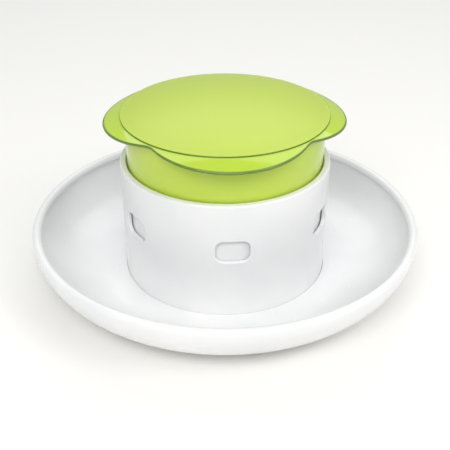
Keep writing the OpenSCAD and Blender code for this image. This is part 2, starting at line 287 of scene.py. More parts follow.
@dataclass(frozen=True)
class TintedSan(Finish):
    """SAN, moulded and tinted lime: cloudy, and darker where it is thick or seen edge on.

    The middle of the cover comes from a blasted tool, so it is paler and matte inside matte_r, and
    fades to gloss from fade_in before to fade_out past it. The edges get a painted shade: the rim
    colour is painted into the base colour there, standing in for the deeper green that light leaves
    after running along the wall. Radii, fades, grain and patches are in millimetres.
    """

    name: str = "lime_tinted_san"
    slot: Slot = Slot.LIME
    tint: str = "#D6F04A"
    pale: str = "#E0F46A"
    # rim: colour of the painted edge shade, painted where the wall is seen edge on
    rim: str = "#6F8E1E"
    deep: str = "#D2EC4A"
    ior: float = 1.57
    density: float = 60.0
    clear: float = 0.42
    gloss: float = 0.06
    matte: float = 0.4
    matte_r: float = 0.0
    fade_in: float = 0.4
    fade_out: float = 0.1
    grain: float = 0.8
    grain_deep: float = 0.05
    grain_strength: float = 0.25
    cloud_patch: float = 40.0
    cloud_pale: float = 0.6
    gloss_patch: float = 14.0
    gloss_span: float = 0.05

    def wire(self, tree: bpy.types.NodeTree, place: bpy.types.NodeSocket) -> dict[str, bpy.types.Node]:
        """Adds the clear plastic, its matte middle or moulding clouds, and the tint in its depth.

        Args:
            tree: The material's tree.
            place: Object coordinates.

        Returns:
            The surface and the volume.
        """
        inputs = {"IOR": self.ior, "Transmission Weight": self.clear}
        if self.matte_r:
            flat = add_node(tree, "ShaderNodeVectorMath", {0: place, 1: (1, 1, 0)}, operation="MULTIPLY")
            away = add_node(tree, "ShaderNodeVectorMath", {0: flat}, operation="LENGTH")
            stop = self.matte_r * MM
            fade = {"From Min": stop - self.fade_in * MM, "From Max": stop + self.fade_out * MM}
            pale = add_node(tree, "ShaderNodeMapRange", {"Value": away, **fade, "To Min": 1, "To Max": 0})
            dull = {"Value": pale, "To Min": self.gloss, "To Max": self.matte}
            inputs["Roughness"] = add_node(tree, "ShaderNodeMapRange", dull)
            # the blasted grain is about 0.2 mm and is drawn at 0.8 mm, so that it shows
            grain = {"Height": patches(tree, place, self.grain, cut=WHOLE), "Distance": self.grain_deep * MM}
            strength = {"Value": pale, "To Min": 0, "To Max": self.grain_strength}
            depth = add_node(tree, "ShaderNodeMapRange", strength)
            inputs["Normal"] = add_node(tree, "ShaderNodeBump", {**grain, "Strength": depth})
        else:
            pale = patches(tree, place, self.cloud_patch, (0, self.cloud_pale))
            clouded = (self.gloss, self.gloss + self.gloss_span)
            inputs["Roughness"] = patches(tree, place, self.gloss_patch, clouded, cut=BROKEN, detail=3)
        tones = {"Factor": pale, "A": linear(self.tint), "B": linear(self.pale)}
        body = add_node(tree, "ShaderNodeMix", tones, data_type="RGBA")
        # painted shade: the dark rim colour is mixed into the base colour along the edges, standing in for
        # light absorbed there
        edge = add_node(tree, "ShaderNodeAttribute", attribute_name=PAINTED_EDGE_SHADE).outputs["Fac"]
        rim_shade_mix = {"Factor": edge, "A": body, "B": linear(self.rim)}
        inputs["Base Color"] = add_node(tree, "ShaderNodeMix", rim_shade_mix, data_type="RGBA")
        tint = {"Color": linear(self.deep), "Density": self.density}
        return {
            "Surface": add_node(tree, "ShaderNodeBsdfPrincipled", inputs),
            "Volume": add_node(tree, "ShaderNodeVolumeAbsorption", tint),
        }


@dataclass(frozen=True)
class Rubber(Finish):
    """Thermoplastic rubber, moulded: dark grey and matte, with a dry bloom. Patches and grain are in mm."""

    name: str = "dark_moulded_rubber"
    slot: Slot = Slot.RUBBER
    dark: str = "#2A2B2D"
    bloom: str = "#3B3C3E"
    bloom_patch: float = 6.0
    ior: float = 1.5
    matte: Flat = (0.62, 0.8)
    matte_patch: float = 3.0
    grain: float = 0.7
    grain_deep: float = 0.05
    grain_strength: float = 0.25

    def wire(self, tree: bpy.types.NodeTree, place: bpy.types.NodeSocket) -> dict[str, bpy.types.Node]:
        """Adds the bloom and a fine moulded grain.

        Args:
            tree: The material's tree.
            place: Object coordinates.

        Returns:
            The surface.
        """
        bloom = patches(tree, place, self.bloom_patch, cut=BROKEN, detail=3)
        tones = {"Factor": bloom, "A": linear(self.dark), "B": linear(self.bloom)}
        skin = patches(tree, place, self.grain, cut=WHOLE, detail=3)
        grain = {"Height": skin, "Strength": self.grain_strength, "Distance": self.grain_deep * MM}
        inputs = {
            "Base Color": add_node(tree, "ShaderNodeMix", tones, data_type="RGBA"),
            "Roughness": patches(tree, place, self.matte_patch, self.matte),
            "IOR": self.ior,
            "Normal": add_node(tree, "ShaderNodeBump", grain),
        }
        return {"Surface": add_node(tree, "ShaderNodeBsdfPrincipled", inputs)}


@dataclass(frozen=True)
class Silicone(Finish):
    """Silicone, moulded: milky, satin, and a little see-through. Patches are in millimetres."""

    name: str = "milky_silicone"
    slot: Slot = Slot.SILICONE
    milk: str = "#E9EBEA"
    cloud: str = "#D9DCDB"
    cloud_patch: float = 9.0
    ior: float = 1.41
    clear: float = 0.25
    satin: Flat = (0.38, 0.5)
    satin_patch: float = 2.0

    def wire(self, tree: bpy.types.NodeTree, place: bpy.types.NodeSocket) -> dict[str, bpy.types.Node]:
        """Adds the milky body and its satin skin.

        Args:
            tree: The material's tree.
            place: Object coordinates.

        Returns:
            The surface.
        """
        clouds = patches(tree, place, self.cloud_patch)
        tones = {"Factor": clouds, "A": linear(self.milk), "B": linear(self.cloud)}
        inputs = {
            "Base Color": add_node(tree, "ShaderNodeMix", tones, data_type="RGBA"),
            "Roughness": patches(tree, place, self.satin_patch, self.satin),
            "IOR": self.ior,
            "Transmission Weight": self.clear,
        }
        return {"Surface": add_node(tree, "ShaderNodeBsdfPrincipled", inputs)}


@dataclass(frozen=True)
class Steel(Finish):
    """Steel: bright and cloudy where it is zinc plated, greyer where it is drawn and oiled. Patch in mm."""

    name: str = "zinc_plated_steel"
    slot: Slot = Slot.ZINC
    bright: str = "#C4C7CB"
    dull: str = "#A3A8AE"
    gloss: float = 0.24
    worn: float = 0.4
    patch: float = 3.0

    def wire(self, tree: bpy.types.NodeTree, place: bpy.types.NodeSocket) -> dict[str, bpy.types.Node]:
        """Adds the metal and its cloudy gloss.

        Args:
            tree: The material's tree.
            place: Object coordinates.

        Returns:
            The surface.
        """
        cloud = patches(tree, place, self.patch, detail=4)
        tones = {"Factor": cloud, "A": linear(self.bright), "B": linear(self.dull)}
        rough = {"Value": cloud, "To Min": self.gloss, "To Max": self.worn}
        inputs = {
            "Base Color": add_node(tree, "ShaderNodeMix", tones, data_type="RGBA"),
            "Metallic": 1.0,
            "Roughness": add_node(tree, "ShaderNodeMapRange", rough),
        }
        return {"Surface": add_node(tree, "ShaderNodeBsdfPrincipled", inputs)}


WHITE = MouldedAbs()
TRAY_WHITE = MouldedAbs("white_moulded_abs_scratched", scratches=True)
RING_LIME = TintedSan(density=45, clear=0.32)
COVER_LIME = TintedSan(
    "lime_tinted_san_matte_middle", tint="#CBE742", pale="#D3EA52", matte_r=69.4, density=85, clear=0.3
)
RUBBER = Rubber()
SILICONE = Silicone()
ZINC = Steel()
WIRE = Steel("drawn_spring_steel", Slot.WIRE, "#A9ACB1", "#84888E", gloss=0.3, worn=0.42, patch=1.2)


# ---------------------------------------------------------------- outlines and shells


def rounded(
    corners: Sequence[Point], closed: bool = False, steps: int = 5, margin: float = 0.3
) -> list[Flat]:
    """Rounds the corners of an outline, and adds a point near both ends of each long straight.

    Args:
        corners: Across, up and rounding radius of each corner.
        closed: Whether the last corner joins the first.
        steps: Pieces of each rounding.
        margin: Distance of the added points from the ends of a straight.

    Returns:
        The outline's points.
    """
    count = len(corners)
    runs: list[list[Vector]] = []
    for i, (across, up, radius) in enumerate(corners):
        here = Vector((across, up))
        if radius <= 0 or (not closed and i in (0, count - 1)):
            runs.append([here])
            continue
        back = (Vector(corners[i - 1][:2]) - here).normalized()
        ahead = (Vector(corners[(i + 1) % count][:2]) - here).normalized()
        half = back.angle(ahead) / 2
        reach = radius / math.tan(half)
        middle = here + (back + ahead).normalized() * (radius / math.sin(half))
        first, last = here + back * reach - middle, here + ahead * reach - middle
        turn = math.pi - 2 * half
        shares = [k / steps for k in range(steps + 1)]
        arms = [first * math.sin(turn * (1 - t)) + last * math.sin(turn * t) for t in shares]
        runs.append([middle + arm / math.sin(turn) for arm in arms])
    points: list[Vector] = []
    for i, run in enumerate(runs):
        points += run
        if i == count - 1 and not closed:
            break
        start, end = run[-1], runs[(i + 1) % count][0]
        long = (end - start).length
        if long > LONG * margin:
            points += [start.lerp(end, margin / long), end.lerp(start, margin / long)]
    return [(p.x, p.y) for p in points]


@dataclass
class Shell:
    """Points in millimetres and faces, gathered before they become a mesh."""

    points: list[Point] = field(default_factory=list)
    faces: list[tuple[int, ...]] = field(default_factory=list)

    def row(self, points: Sequence[Point]) -> list[int]:
        """Adds points and returns their numbers."""
        start = len(self.points)
        self.points += points
        return list(range(start, len(self.points)))

    def weave(self, rows: Sequence[list[int]], closed: bool = False) -> "Shell":
        """Joins closed rows, one after the other; a row of one point is a pole.

        Args:
            rows: Rows of point numbers, of one length apart from poles.
            closed: Whether the last row joins the first.

        Returns:
            This shell.
        """
        size = max(len(row) for row in rows)
        pairs = list(zip(rows, rows[1:])) + ([(rows[-1], rows[0])] if closed else [])
        for low, high in pairs:
            for i in range(size):
                k = (i + 1) % size
                ring = (low[i % len(low)], low[k % len(low)], high[k % len(high)], high[i % len(high)])
                face = tuple(dict.fromkeys(ring))
                if len(face) > 2:
                    self.faces.append(face)
        return self

    def slab(self, near: Sequence[Point], far: Sequence[Point]) -> "Shell":
        """Joins two equal outlines and closes both ends.

        Args:
            near: One end's outline, clockwise as it is seen from outside.
            far: The other end's, from the same point and in the same direction.

        Returns:
            This shell.
        """
        rows = [self.row(near), self.row(far)]
        self.weave(rows)
        self.faces += [tuple(reversed(rows[0])), tuple(rows[1])]
        return self

    def join(self, other: "Shell") -> "Shell":
        """Adds another shell's points and faces to this one, and returns this one."""
        start = len(self.points)
        self.points += other.points
        self.faces += [tuple(start + i for i in face) for face in other.faces]
        return self

    def moved(self, across: float = 0, along: float = 0, up: float = 0) -> "Shell":
        """Moves the shell and returns it."""
        self.points = [(x + across, y + along, z + up) for x, y, z in self.points]
        return self

    def around(self, count: int, first: float = 0.0) -> "Shell":
        """Copies the shell round the axis.

        Args:
            count: How many copies.
            first: Angle of the first.

        Returns:
            The copies as one new shell.
        """
        made = Shell()
        for i in range(count):
            angle = first + TURN * i / count
            c, s = math.cos(angle), math.sin(angle)
            made.join(Shell([(x * c - y * s, x * s + y * c, z) for x, y, z in self.points], self.faces))
        return made

    def build(self, name: str) -> bpy.types.Object:
        """Makes the shell an object in metres, with doubled points merged.

        Args:
            name: The object's name.

        Returns:
            The object, at the origin.
        """
        mesh = bpy.data.meshes.new(name)
        mesh.from_pydata([tuple(v * MM for v in p) for p in self.points], [], self.faces)
        shape = bmesh.new()
        shape.from_mesh(mesh)
        bmesh.ops.remove_doubles(shape, verts=shape.verts, dist=SAME * MM)
        shape.to_mesh(mesh)
        shape.free()
        thing = bpy.data.objects.new(name, mesh)
        bpy.context.scene.collection.objects.link(thing)
        return thing


def lathe(outline: Sequence[Flat], steps: int, closed: bool = False, first: float = 0.0) -> Shell:
    """Turns an outline round the axis. Its outside lies on the right of its direction.

    Args:
        outline: Radius and height of each point.
        steps: Pieces of the full turn.
        closed: Whether the outline's last point joins its first.
        first: Angle of the first column.

    Returns:
        The shell.
    """
    shell = Shell()
    angles = [first + TURN * i / steps for i in range(steps)]
    rows = [
        shell.row([(0, 0, z)] if r < TINY else [(r * math.cos(a), r * math.sin(a), z) for a in angles])
        for r, z in outline
    ]
    return shell.weave(rows, closed)


def block(low: Point, high: Point) -> Shell:
    """Makes a box, for webs, keys and cutting.

    Args:
        low: Its lowest corner.
        high: Its highest corner.

    Returns:
        The shell.
    """
    (x0, y0, z0), (x1, y1, z1) = low, high
    under, over = ([(x0, y0, z), (x1, y0, z), (x1, y1, z), (x0, y1, z)] for z in (z0, z1))
    return Shell().slab(under, over)


def rod(radius: float, low: float, high: float, steps: int = 48) -> Shell:
    """A plain round rod, for cutting holes."""
    return lathe([(0, low), (radius, low), (radius, high), (0, high)], steps)


# ---------------------------------------------------------------- objects


def settle(thing: bpy.types.Object) -> None:
    """Makes an object's modifiers part of its mesh, and removes them.

    Args:
        thing: The object.
    """
    graph = bpy.context.evaluated_depsgraph_get()
    done = thing.evaluated_get(graph)
    mesh = bpy.data.meshes.new_from_object(done, preserve_all_data_layers=True, depsgraph=graph)
    thing.modifiers.clear()
    old, thing.data = thing.data, mesh
    bpy.data.meshes.remove(old)
    mesh.name = thing.name


def carve(thing: bpy.types.Object, tool: Shell, add: bool = False) -> None:
    """Cuts a shell out of an object, or adds it.

    Args:
        thing: The object.
        tool: A closed shell, or several apart from each other.
        add: Whether the shell is added.
    """
    cutter = tool.build("cutter")
    step = thing.modifiers.new("carve", "BOOLEAN")
    step.operation = "UNION" if add else "DIFFERENCE"
    step.solver = "EXACT"
    step.object = cutter
    settle(thing)
    bpy.data.objects.remove(cutter)


def merge(thing: bpy.types.Object, *others: bpy.types.Object) -> None:
    """Adds other objects' meshes to an object, and removes those objects.

    Args:
        thing: The object.
        *others: The objects that go into it.
    """
    shape = bmesh.new()
    shape.from_mesh(thing.data)
    for other in others:
        shape.from_mesh(other.data)
        bpy.data.objects.remove(other)
    shape.to_mesh(thing.data)
    shape.free()


def paint_edge_shade(thing: bpy.types.Object, rule: Callable[[float, float], float]) -> None:
    """Stores how much painted edge shade each point of a round piece has.

    Args:
        thing: The object.
        rule: The share from 0 to 1 at a radius and a height in millimetres.
    """
    layer = thing.data.attributes.new(PAINTED_EDGE_SHADE, "FLOAT", "POINT")
    for point, value in zip(thing.data.vertices, layer.data):
        value.value = rule(math.hypot(point.co.x, point.co.y) / MM, point.co.z / MM)


def turn_outwards(thing: bpy.types.Object) -> None:
    """Turns an object's faces outwards where its volume comes out negative.

    Args:
        thing: The object.
    """
    shape = bmesh.new()
    shape.from_mesh(thing.data)
    if shape.calc_volume(signed=True) < 0:
        bmesh.ops.reverse_faces(shape, faces=shape.faces)
        shape.to_mesh(thing.data)
    shape.free()


def dress(thing: bpy.types.Object, body: Body, finish: Finish, *nodes: str) -> bpy.types.Object:
    """Gives a finished shape its shading, finish and body, and lets it stand for CAD nodes.

    Args:
        thing: The object, in place.
        body: The body that it rides on.
        finish: Its finish.
        *nodes: The CAD nodes that it replaces.

    Returns:
        The object.
    """
    turn_outwards(thing)
    thing.data.materials.clear()
    thing.data.materials.append(finish.material())
    thing.data.shade_smooth()
    thing.data.set_sharp_from_angle(angle=SHARP)
    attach(thing, body.value)
    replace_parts(thing, *nodes)
    return thing


# ---------------------------------------------------------------- geometry trees


class Tree:
    """A geometry tree with named inputs, that shapes an object and gives it its material."""

    def __init__(self, name: str, sizes: dict[str, str]) -> None:
        """Starts the tree.

        Args:
            name: The tree's name.
            sizes: Kind of socket by input name, such as {"Count": "NodeSocketInt"}.
        """
        self.group = bpy.data.node_groups.new(name, "GeometryNodeTree")
        face = self.group.interface
        face.new_socket(name="Geometry", in_out="INPUT", socket_type="NodeSocketGeometry")
        face.new_socket(name="Geometry", in_out="OUTPUT", socket_type="NodeSocketGeometry")
        sockets = {**sizes, "Finish": "NodeSocketMaterial"}
        self.ids = {}
        for label, kind in sockets.items():
            socket = face.new_socket(name=label, in_out="INPUT", socket_type=kind)
            self.ids[label] = socket.identifier
        start = add_node(self.group, "NodeGroupInput")
        self.known = {n: start.outputs[n] for n in ("Geometry", *sockets)}

    def add(self, kind: str, inputs: dict | None = None, **settings) -> bpy.types.Node:
        """Adds a node, where an input may also be the name of something known.

        Args:
            kind: The node's type.
            inputs: As for add_node.
            **settings: As for add_node.

        Returns:
            The node.
        """
        found = {k: self.known[v] if isinstance(v, str) else v for k, v in (inputs or {}).items()}
        return add_node(self.group, kind, found, **settings)

    def work_out(self, kind: str, steps: Sequence[tuple]) -> None:
        """Adds a chain of nodes of one kind; each result becomes known by its step's name.

        Args:
            kind: The nodes' type.
            steps: A name, an operation, and the inputs as numbers or names.
        """
        for name, operation, *terms in steps:
            self.known[name] = self.add(kind, dict(enumerate(terms)), operation=operation)

    def end(self, geometry: bpy.types.Node) -> None:
        """Closes the tree: instances become real, and the material is set.

        Args:
            geometry: The node that gives the shape.
        """
        real = self.add("GeometryNodeRealizeInstances", {"Geometry": geometry})
        painted = self.add("GeometryNodeSetMaterial", {"Geometry": real, "Material": "Finish"})
        self.add("NodeGroupOutput", {"Geometry": painted})

    def shape(self, thing: bpy.types.Object, finish: Finish, **values: float) -> bpy.types.Object:
        """Runs the tree on an object, and leaves a plain mesh.

        Args:
            thing: The object.
            finish: Its finish.
            **values: The inputs, with _ for a space.

        Returns:
            The object.
        """
        step = thing.modifiers.new(self.group.name, "NODES")
        step.node_group = self.group
        step[self.ids["Finish"]] = finish.material()
        for name, value in values.items():
            step[self.ids[name.replace("_", " ")]] = value
        settle(thing)
        return thing


def ring_tree() -> Tree:
    """Makes the tree that copies a shape round the axis: feet, screws, bosses, keys and ribs.

    Returns:
        The tree.
    """
    tree = Tree("ring_of", {"Count": "NodeSocketInt", "First angle": "NodeSocketFloat"})
    places = tree.add("GeometryNodeMeshLine", {"Count": "Count", "Offset": (0, 0, 0)})
    tree.known["index"] = tree.add("GeometryNodeInputIndex")
    steps = (("step", "DIVIDE", TURN, "Count"), ("angle", "MULTIPLY_ADD", "index", "step", "First angle"))
    tree.work_out("ShaderNodeMath", steps)
    turn = tree.add("ShaderNodeCombineXYZ", {"Z": "angle"})
    copies = {"Points": places, "Instance": "Geometry", "Rotation": turn}
    tree.end(tree.add("GeometryNodeInstanceOnPoints", copies))
    return tree


def spring_tree() -> Tree:
    """Makes the tree that winds a wire: the end turns lie close, the others are evenly spread.

    Returns:
        The tree.
    """
    names = ("Coil radius", "Wire radius", "Turns", "Low", "High", "Close pitch", "Steps")
    tree = Tree("wound_spring", dict.fromkeys(names, "NodeSocketFloat"))
    tree.known["index"] = tree.add("GeometryNodeInputIndex")
    tree.work_out(
        "ShaderNodeMath",
        (
            ("count", "MULTIPLY_ADD", "Turns", "Steps", 1.0),
            ("turn", "DIVIDE", "index", "Steps"),
            ("open turns", "SUBTRACT", "Turns", 2.0),
            ("rise", "SUBTRACT", "High", "Low"),
            ("open rise", "MULTIPLY_ADD", "Close pitch", -2.0, "rise"),
            ("open pitch", "DIVIDE", "open rise", "open turns"),
            ("in first", "MINIMUM", "turn", 1.0),
            ("after first", "SUBTRACT", "turn", 1.0),
            ("not before", "MAXIMUM", "after first", 0.0),
            ("in open", "MINIMUM", "not before", "open turns"),
            ("after open", "SUBTRACT", "after first", "open turns"),
            ("in last", "MAXIMUM", "after open", 0.0),
            ("z first", "MULTIPLY_ADD", "in first", "Close pitch", "Low"),
            ("z open", "MULTIPLY_ADD", "in open", "open pitch", "z first"),
            ("z", "MULTIPLY_ADD", "in last", "Close pitch", "z open"),
            ("angle", "MULTIPLY", "turn", TURN),
            ("cosine", "COSINE", "angle"),
            ("sine", "SINE", "angle"),
            ("x", "MULTIPLY", "Coil radius", "cosine"),
            ("y", "MULTIPLY", "Coil radius", "sine"),
        ),
    )
    line = tree.add("GeometryNodeMeshLine", {"Count": "count", "Offset": (0, 0, 0)})
    place = tree.add("ShaderNodeCombineXYZ", {"X": "x", "Y": "y", "Z": "z"})
    wound = tree.add("GeometryNodeSetPosition", {"Geometry": line, "Position": place})
    path = tree.add("GeometryNodeMeshToCurve", {"Mesh": wound})
    section = tree.add("GeometryNodeCurvePrimitiveCircle", {"Resolution": 12, "Radius": "Wire radius"})
    wire = {"Curve": path, "Profile Curve": section, "Fill Caps": True}
    tree.end(tree.add("GeometryNodeCurveToMesh", wire))
    return tree


def lobe_tree() -> Tree:
    """Makes the tree that draws a round cover's edge out into lobes, which meet in soft notches.

    Each lobe is part of a circle whose middle is off the axis. Inside Hold radius nothing moves. From
    there to the edge's rounding the surface is stretched, and the rounding itself, Edge wide, is only
    shifted. Heights follow the ball that the cover is part of.

    Returns:
        The tree.
    """
    lengths = ("Tip radius", "Hold radius", "Ball radius", "Edge", "Lobe offset", "Notch blend")
    names = (*lengths, "Lobes", "First angle")
    tree = Tree("lobed_edge", dict.fromkeys(names, "NodeSocketFloat"))
    parts = tree.add("ShaderNodeSeparateXYZ", {"Vector": tree.add("GeometryNodeInputPosition")})
    tree.known |= {"x": parts.outputs["X"], "y": parts.outputs["Y"]}
    where = (
        ("y squared", "MULTIPLY", "y", "y"),
        ("away squared", "MULTIPLY_ADD", "x", "x", "y squared"),
        ("away", "SQRT", "away squared"),
        ("angle", "ARCTAN2", "y", "x"),
        ("cosine", "COSINE", "angle"),
        ("sine", "SINE", "angle"),
        ("share", "DIVIDE", TURN, "Lobes"),
        ("half share", "MULTIPLY", "share", 0.5),
        ("from first", "SUBTRACT", "angle", "First angle"),
        ("from notch", "ADD", "from first", "half share"),
        ("in share", "FLOORED_MODULO", "from notch", "share"),
        ("from middle", "SUBTRACT", "in share", "half share"),
        ("own turn", "ABSOLUTE", "from middle"),
        ("next turn", "SUBTRACT", "share", "own turn"),
        ("lobe radius", "SUBTRACT", "Tip radius", "Lobe offset"),
        ("lobe squared", "MULTIPLY", "lobe radius", "lobe radius"),
        ("ball squared", "MULTIPLY", "Ball radius", "Ball radius"),
    )
    lobes = [
        step
        for lobe in ("own", "next")
        for step in (
            (f"{lobe} cosine", "COSINE", f"{lobe} turn"),
            (f"{lobe} sine", "SINE", f"{lobe} turn"),
            (f"{lobe} aside", "MULTIPLY", "Lobe offset", f"{lobe} sine"),
            (f"{lobe} aside squared", "MULTIPLY", f"{lobe} aside", f"{lobe} aside"),
            (f"{lobe} left", "SUBTRACT", "lobe squared", f"{lobe} aside squared"),
            (f"{lobe} deep", "SQRT", f"{lobe} left"),
            (f"{lobe} reach", "MULTIPLY_ADD", "Lobe offset", f"{lobe} cosine", f"{lobe} deep"),
        )
    ]
    stretch = (
        ("outline", "SMOOTH_MAX", "own reach", "next reach", "Notch blend"),
        ("band end", "SUBTRACT", "Tip radius", "Edge"),
        ("band", "SUBTRACT", "band end", "Hold radius"),
        ("past hold", "SUBTRACT", "away", "Hold radius"),
        ("ratio", "DIVIDE", "past hold", "band"),
        ("not inside", "MAXIMUM", "ratio", 0.0),
        ("along", "MINIMUM", "not inside", 1.0),
        ("new band end", "SUBTRACT", "outline", "Edge"),
        ("new band", "SUBTRACT", "new band end", "Hold radius"),
        ("past band", "SUBTRACT", "away", "band end"),
        ("in edge", "MAXIMUM", "past band", 0.0),
        ("held", "MINIMUM", "away", "Hold radius"),
        ("stretched", "MULTIPLY_ADD", "along", "new band", "held"),
        ("new away", "ADD", "stretched", "in edge"),
        ("grown", "SUBTRACT", "new away", "away"),
        ("new squared", "MULTIPLY", "new away", "new away"),
        ("old drop", "SUBTRACT", "ball squared", "away squared"),
        ("new drop", "SUBTRACT", "ball squared", "new squared"),
        ("old height", "SQRT", "old drop"),
        ("new height", "SQRT", "new drop"),
        ("shift x", "MULTIPLY", "grown", "cosine"),
        ("shift y", "MULTIPLY", "grown", "sine"),
        ("shift z", "SUBTRACT", "new height", "old height"),
    )
    tree.work_out("ShaderNodeMath", (*where, *lobes, *stretch))
    shift = tree.add("ShaderNodeCombineXYZ", {"X": "shift x", "Y": "shift y", "Z": "shift z"})
    tree.end(tree.add("GeometryNodeSetPosition", {"Geometry": "Geometry", "Offset": shift}))
    return tree


# ---------------------------------------------------------------- the object's own sizes


@dataclass(frozen=True)
class Sizes:
    """Sizes that several sub-assemblies share, in millimetres above the table or from the axis."""

    under_z: float = 1.6
    floor_z: float = 4.4
    boss_top: float = 9.2
    plate_top: float = 11.7
    head_seat: float = 6.8
    housing_r: float = 71.6
    bore_r: float = 69.0
    housing_top: float = 86.3
    housing_groove: float = 0.8
    lip_r: float = 67.5
    lip_z: float = 83.9
    drum_r: float = 68.4
    drum_in_r: float = 66.0
    drum_z: float = 42.5
    drum_top: float = 83.6
    ring_z: float = 79.6
    ring_top: float = 116.6
    ring_foot_r: float = 66.396
    ring_top_r: float = 67.596
    ring_wall: float = 2.2
    outlet_sill: float = 45.5
    window_sill: float = 60.5
    window_top: float = 75.5
    foot_circle: float = 75.0
    foot_socket: float = 0.8
    screw_circle: float = 54.0
    screw_first: float = TURN / 8
    screws: int = 4
    keys: int = 3
    small_circle: float = 62.8
    post_r: float = 15.0
    tube_in_r: float = 15.3
    tube_r: float = 17.7
    spring_r: float = 23.0
    wire_r: float = 1.0
    washer_z: float = 59.7
    washer_t: float = 1.2
    floor_t: float = 2.2
    press_travel: float = 15.0
    rest_gap: float = 0.3
    seat_gap: float = 0.1


@dataclass(frozen=True)
class Window:
    """A ring of round-cornered openings through a round wall, with rounded edges.

    The mesh has bend steps in half a corner, across and up steps on the straights, and rounds steps
    over an edge. From its share of the wall it closes in on an opening in rows, crowded towards it, and
    the last of them lies collar outside the edge. At least flat of the wall is left between two edges.
    """

    sill: float
    width: float = 22.0
    height: float = 15.0
    corner: float = 5.0
    edge: float = 0.8
    flat: float = 0.4
    collar: float = 0.3
    count: int = 6
    bend: int = 4
    across: int = 16
    up: int = 4
    rounds: int = 4
    rows: int = 8
    crowding: float = 0.8

    def loop(self, grow: float) -> list[Flat]:
        """Gives an opening's outline, counterclockwise from the middle of its lower left corner.

        Args:
            grow: How far outside the opening the outline runs.

        Returns:
            Across and up from the opening's middle.
        """
        corner = self.corner + grow
        x, y = self.width / 2 + grow - corner, self.height / 2 + grow - corner
        heads = ((x, -y), (x, y), (-x, y), (-x, -y))
        points: list[Flat] = []
        for i, (cx, cy) in enumerate(heads):
            start = math.radians(90 * (i - 1))
            arc = [start + TURN / 4 * k / (2 * self.bend) for k in range(2 * self.bend + 1)]
            points += [(cx + corner * math.cos(a), cy + corner * math.sin(a)) for a in arc]
            (tx, ty), (nx, ny) = points[-1], heads[(i + 1) % 4]
            straight = self.across if i % 2 else self.up
            shares = [k / straight for k in range(1, straight)]
            points += [(tx + (nx - cx) * t, ty + (ny - cy) * t) for t in shares]
        turn = len(points) - self.bend - self.across
        return points[turn:] + points[:turn]

    def share_loop(self, half: float, low: float, high: float) -> list[Flat]:
        """Gives the outline of an opening's share of the wall, with as many points as a loop.

        Args:
            half: Half of its share of the turn, as an angle.
            low: Height of its lower edge.
            high: Height of its upper edge.

        Returns:
            Angle and height of each point, counterclockwise from the lower left.
        """
        wide, tall = self.across + 2 * self.bend, self.up + 2 * self.bend
        bottom = [(-half + 2 * half * k / wide, low) for k in range(wide)]
        right = [(half, low + (high - low) * k / tall) for k in range(tall)]
        top = [(half - 2 * half * k / wide, high) for k in range(wide)]
        left = [(-half, high - (high - low) * k / tall) for k in range(tall)]
        return bottom + right + top + left

    def wall(self, outer: float, inner: float, low: float, high: float) -> Shell:
        """Makes a band of round wall with the openings in it.

        Args:
            outer: Outer radius.
            inner: Inner radius.
            low: Height of the band's lower edge.
            high: Height of its upper edge.

        Returns:
            The band's two faces and the openings' sides.
        """
        middle = self.sill + self.height / 2
        edge = min(self.edge, (outer - inner) / 2 - self.flat / 2)
        share_loop = self.share_loop(math.pi / self.count, low, high)

        def on(radius: float, grow: float) -> list[Point]:
            """The opening's outline on a radius, as angle, height and radius."""
            return [(math.asin(x / radius), middle + y, radius) for x, y in self.loop(grow)]

        def spread(radius: float) -> list[list[Point]]:
            """Outlines from the share's edge to the opening's, on a radius."""
            pairs = list(zip(share_loop, on(radius, edge + self.collar)))
            shares = [(k / self.rows) ** self.crowding for k in range(self.rows + 1)]
            return [
                [(a + (b - a) * t, z + (y - z) * t, radius) for (a, z), (b, y, _) in pairs]
                for t in shares
            ]

        quarter = [TURN / 4 * k / self.rounds for k in range(self.rounds + 1)]
        bends = [(edge * (1 - math.cos(b)), edge * (1 - math.sin(b))) for b in quarter]
        loops = spread(outer) + [on(outer - deep, grow) for deep, grow in bends]
        loops += [on(inner + deep, grow) for deep, grow in reversed(bends)] + spread(inner)[::-1]
        rows = [[(r * math.cos(a), r * math.sin(a), z) for a, z, r in loop] for loop in loops]
        share = Shell()
        share.weave([share.row(row) for row in rows])
        return share.around(self.count, FRONT)

    def plain(self, outline: Sequence[Flat]) -> Shell:
        """Turns the plain wall over or under the openings, whose columns meet the band's."""
        columns = self.count * (self.across + 2 * self.bend)
        return lathe(outline, columns, first=FRONT - math.pi / self.count)


# ---------------------------------------------------------------- sub-assemblies


